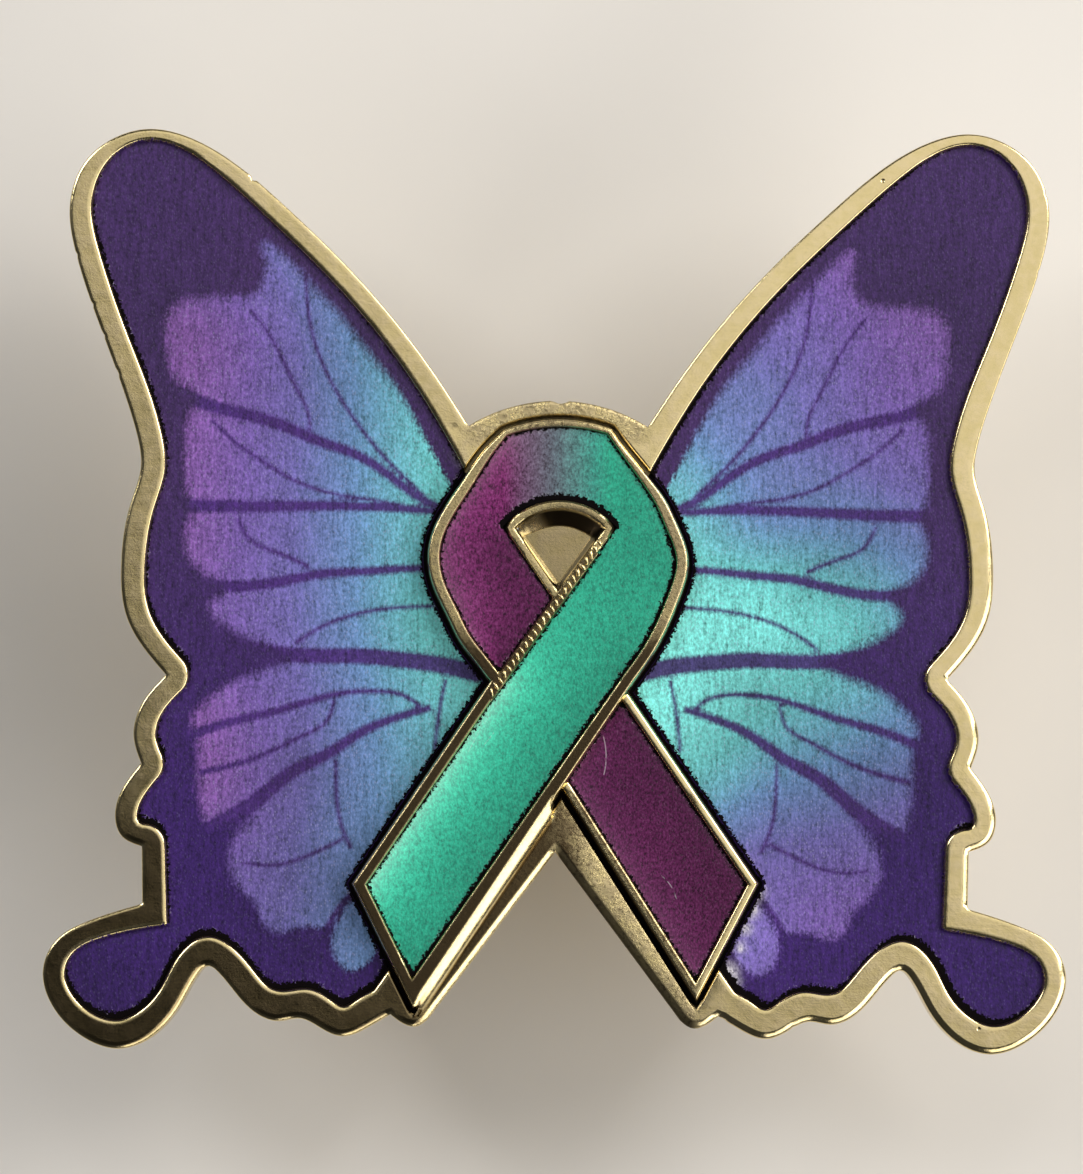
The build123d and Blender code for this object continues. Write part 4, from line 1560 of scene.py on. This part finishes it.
# The lights: name, place and aim, size, power in watts, tint, and turn about its own axis in degrees
LIGHTS = [
    ("key", (0.36, 0.24, 0.36), (0.0, 0.0, 0.011), (0.30, 0.30), 2.25, WARM, 0),
    ("low_right", (0.40, -0.20, 0.34), (0.0, 0.0, 0.011), (0.45, 0.26), 1.2, WARM, 0),
    ("low_front", (0.16, -0.42, 0.30), (0.0, 0.0, 0.011), (0.26, 0.16), 0.29, WARM, 0),
    ("upper_left", (-0.25, 0.20, 0.345), (0.0, 0.0, 0.011), (0.15, 0.15), 0.6, (0.97, 0.98, 1.0), 0),
    ("overhead", (0.203, 0.188, 0.60), (0.203, 0.188, 0.0), (0.50, 0.60), 0.87, (1.0, 0.98, 0.95), 43),
    ("overhead_edge", (-0.006, 0.019, 0.60), (-0.006, 0.019, 0.0), (0.056, 0.60), 0.045, WARM, 43),
]


def area_light(name, stand, aim, size, power, tint, turn):
    """A soft rectangular light that faces a point."""
    lamp = bpy.data.lights.new(name, "AREA")
    lamp.shape = "RECTANGLE"
    lamp.size, lamp.size_y = size
    lamp.energy = power
    lamp.color = tint
    holder = bpy.data.objects.new(name, lamp)
    holder.location = stand
    facing = (Vector(aim) - Vector(stand)).to_track_quat("-Z", "Y")
    holder.rotation_euler = (facing @ Quaternion((0, 0, 1), math.radians(turn))).to_euler()
    bpy.context.collection.objects.link(holder)


class RIBBONPIN_OT_stage(bpy.types.Operator):
    """Add the pale surface, the soft lights and the camera"""

    bl_idname = "ribbon_pin.stage"
    bl_label = "Stage"

    def execute(self, context):
        half = 1.5
        corners = [(-half, -half, 0), (half, -half, 0), (half, half, 0), (-half, half, 0)]
        mesh = bpy.data.meshes.new("surface")
        mesh.from_pydata(corners, [], [(0, 1, 2, 3)])
        mesh.materials.append(table_material())
        surface = bpy.data.objects.new("surface", mesh)
        context.collection.objects.link(surface)
        surface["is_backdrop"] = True
        for light in LIGHTS:
            area_light(*light)
        world = bpy.data.worlds.new("studio")
        world.use_nodes = True
        world.node_tree.nodes["Background"].inputs["Color"].default_value = (0.75, 0.78, 0.82, 1.0)
        world.node_tree.nodes["Background"].inputs["Strength"].default_value = 0.05
        context.scene.world = world
        context.scene.view_settings.view_transform = "Standard"
        self.add_camera(context.scene)
        return {"FINISHED"}

    def add_camera(self, scene):
        """The camera at the photograph's angle: almost straight above, a little from the foot."""
        elevation, roll, distance = math.radians(87.0), math.radians(0.38), 0.25
        aim = Vector((-0.00058, 0.00011, 0.0108))
        away = Vector((0.0, -math.cos(elevation), math.sin(elevation)))
        right = Vector((1.0, 0.0, 0.0))
        axes = Matrix((right, away.cross(right), away)).transposed().to_4x4()
        lens = bpy.data.cameras.new("camera")
        lens.sensor_fit = "HORIZONTAL"
        lens.sensor_width = 36.0
        lens.lens = lens.sensor_width * distance / (PICTURE_WIDTH / PICTURE_SCALE * MM)
        lens.clip_start = 0.01
        camera = bpy.data.objects.new("camera", lens)
        camera.matrix_world = Matrix.Translation(aim + away * distance) @ axes @ Matrix.Rotation(roll, 4, "Z")
        bpy.context.collection.objects.link(camera)
        scene.camera = camera


class RIBBONPIN_PT_panel(bpy.types.Panel):
    """Sizes, colours and pieces of the ribbon pin"""

    bl_label = "Ribbon Pin"
    bl_idname = "RIBBONPIN_PT_panel"
    bl_space_type = "VIEW_3D"
    bl_region_type = "UI"
    bl_category = "Ribbon Pin"

    def draw(self, context):
        scene = context.scene
        for heading, group in (("Sizes", scene.ribbon_pin_sizes), ("Colours", scene.ribbon_pin_colours)):
            self.layout.label(text=heading)
            column = self.layout.column(align=True)
            for key in type(group).__annotations__:
                column.prop(group, key)
        for operator in OPERATORS:
            self.layout.operator(operator.bl_idname)


OPERATORS = (
    RIBBONPIN_OT_casting, RIBBONPIN_OT_wings, RIBBONPIN_OT_ribbon, RIBBONPIN_OT_tool_marks,
    RIBBONPIN_OT_clutch, RIBBONPIN_OT_stage,
)
CLASSES = (PinSizes, PinColours) + OPERATORS + (RIBBONPIN_PT_panel,)


def register():
    """Make the sizes, colours, operators and panel known."""
    for item in CLASSES:
        bpy.utils.register_class(item)
    bpy.types.Scene.ribbon_pin_sizes = PointerProperty(type=PinSizes)
    bpy.types.Scene.ribbon_pin_colours = PointerProperty(type=PinColours)


def unregister():
    """Take all of it away again."""
    del bpy.types.Scene.ribbon_pin_colours
    del bpy.types.Scene.ribbon_pin_sizes
    for item in reversed(CLASSES):
        bpy.utils.unregister_class(item)


def main():
    """Build the whole pin and its stage."""
    register()
    bpy.ops.ribbon_pin.casting()
    bpy.ops.ribbon_pin.wings()
    bpy.ops.ribbon_pin.ribbon()
    bpy.ops.ribbon_pin.tool_marks()
    bpy.ops.ribbon_pin.clutch()
    bpy.ops.ribbon_pin.stage()
    boxes = {"cad": CAD_BOX, "visual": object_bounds()}
    plain = {key: [[float(c) for c in corner] for corner in box] for key, box in boxes.items()}


if __name__ == "__main__":
    main()
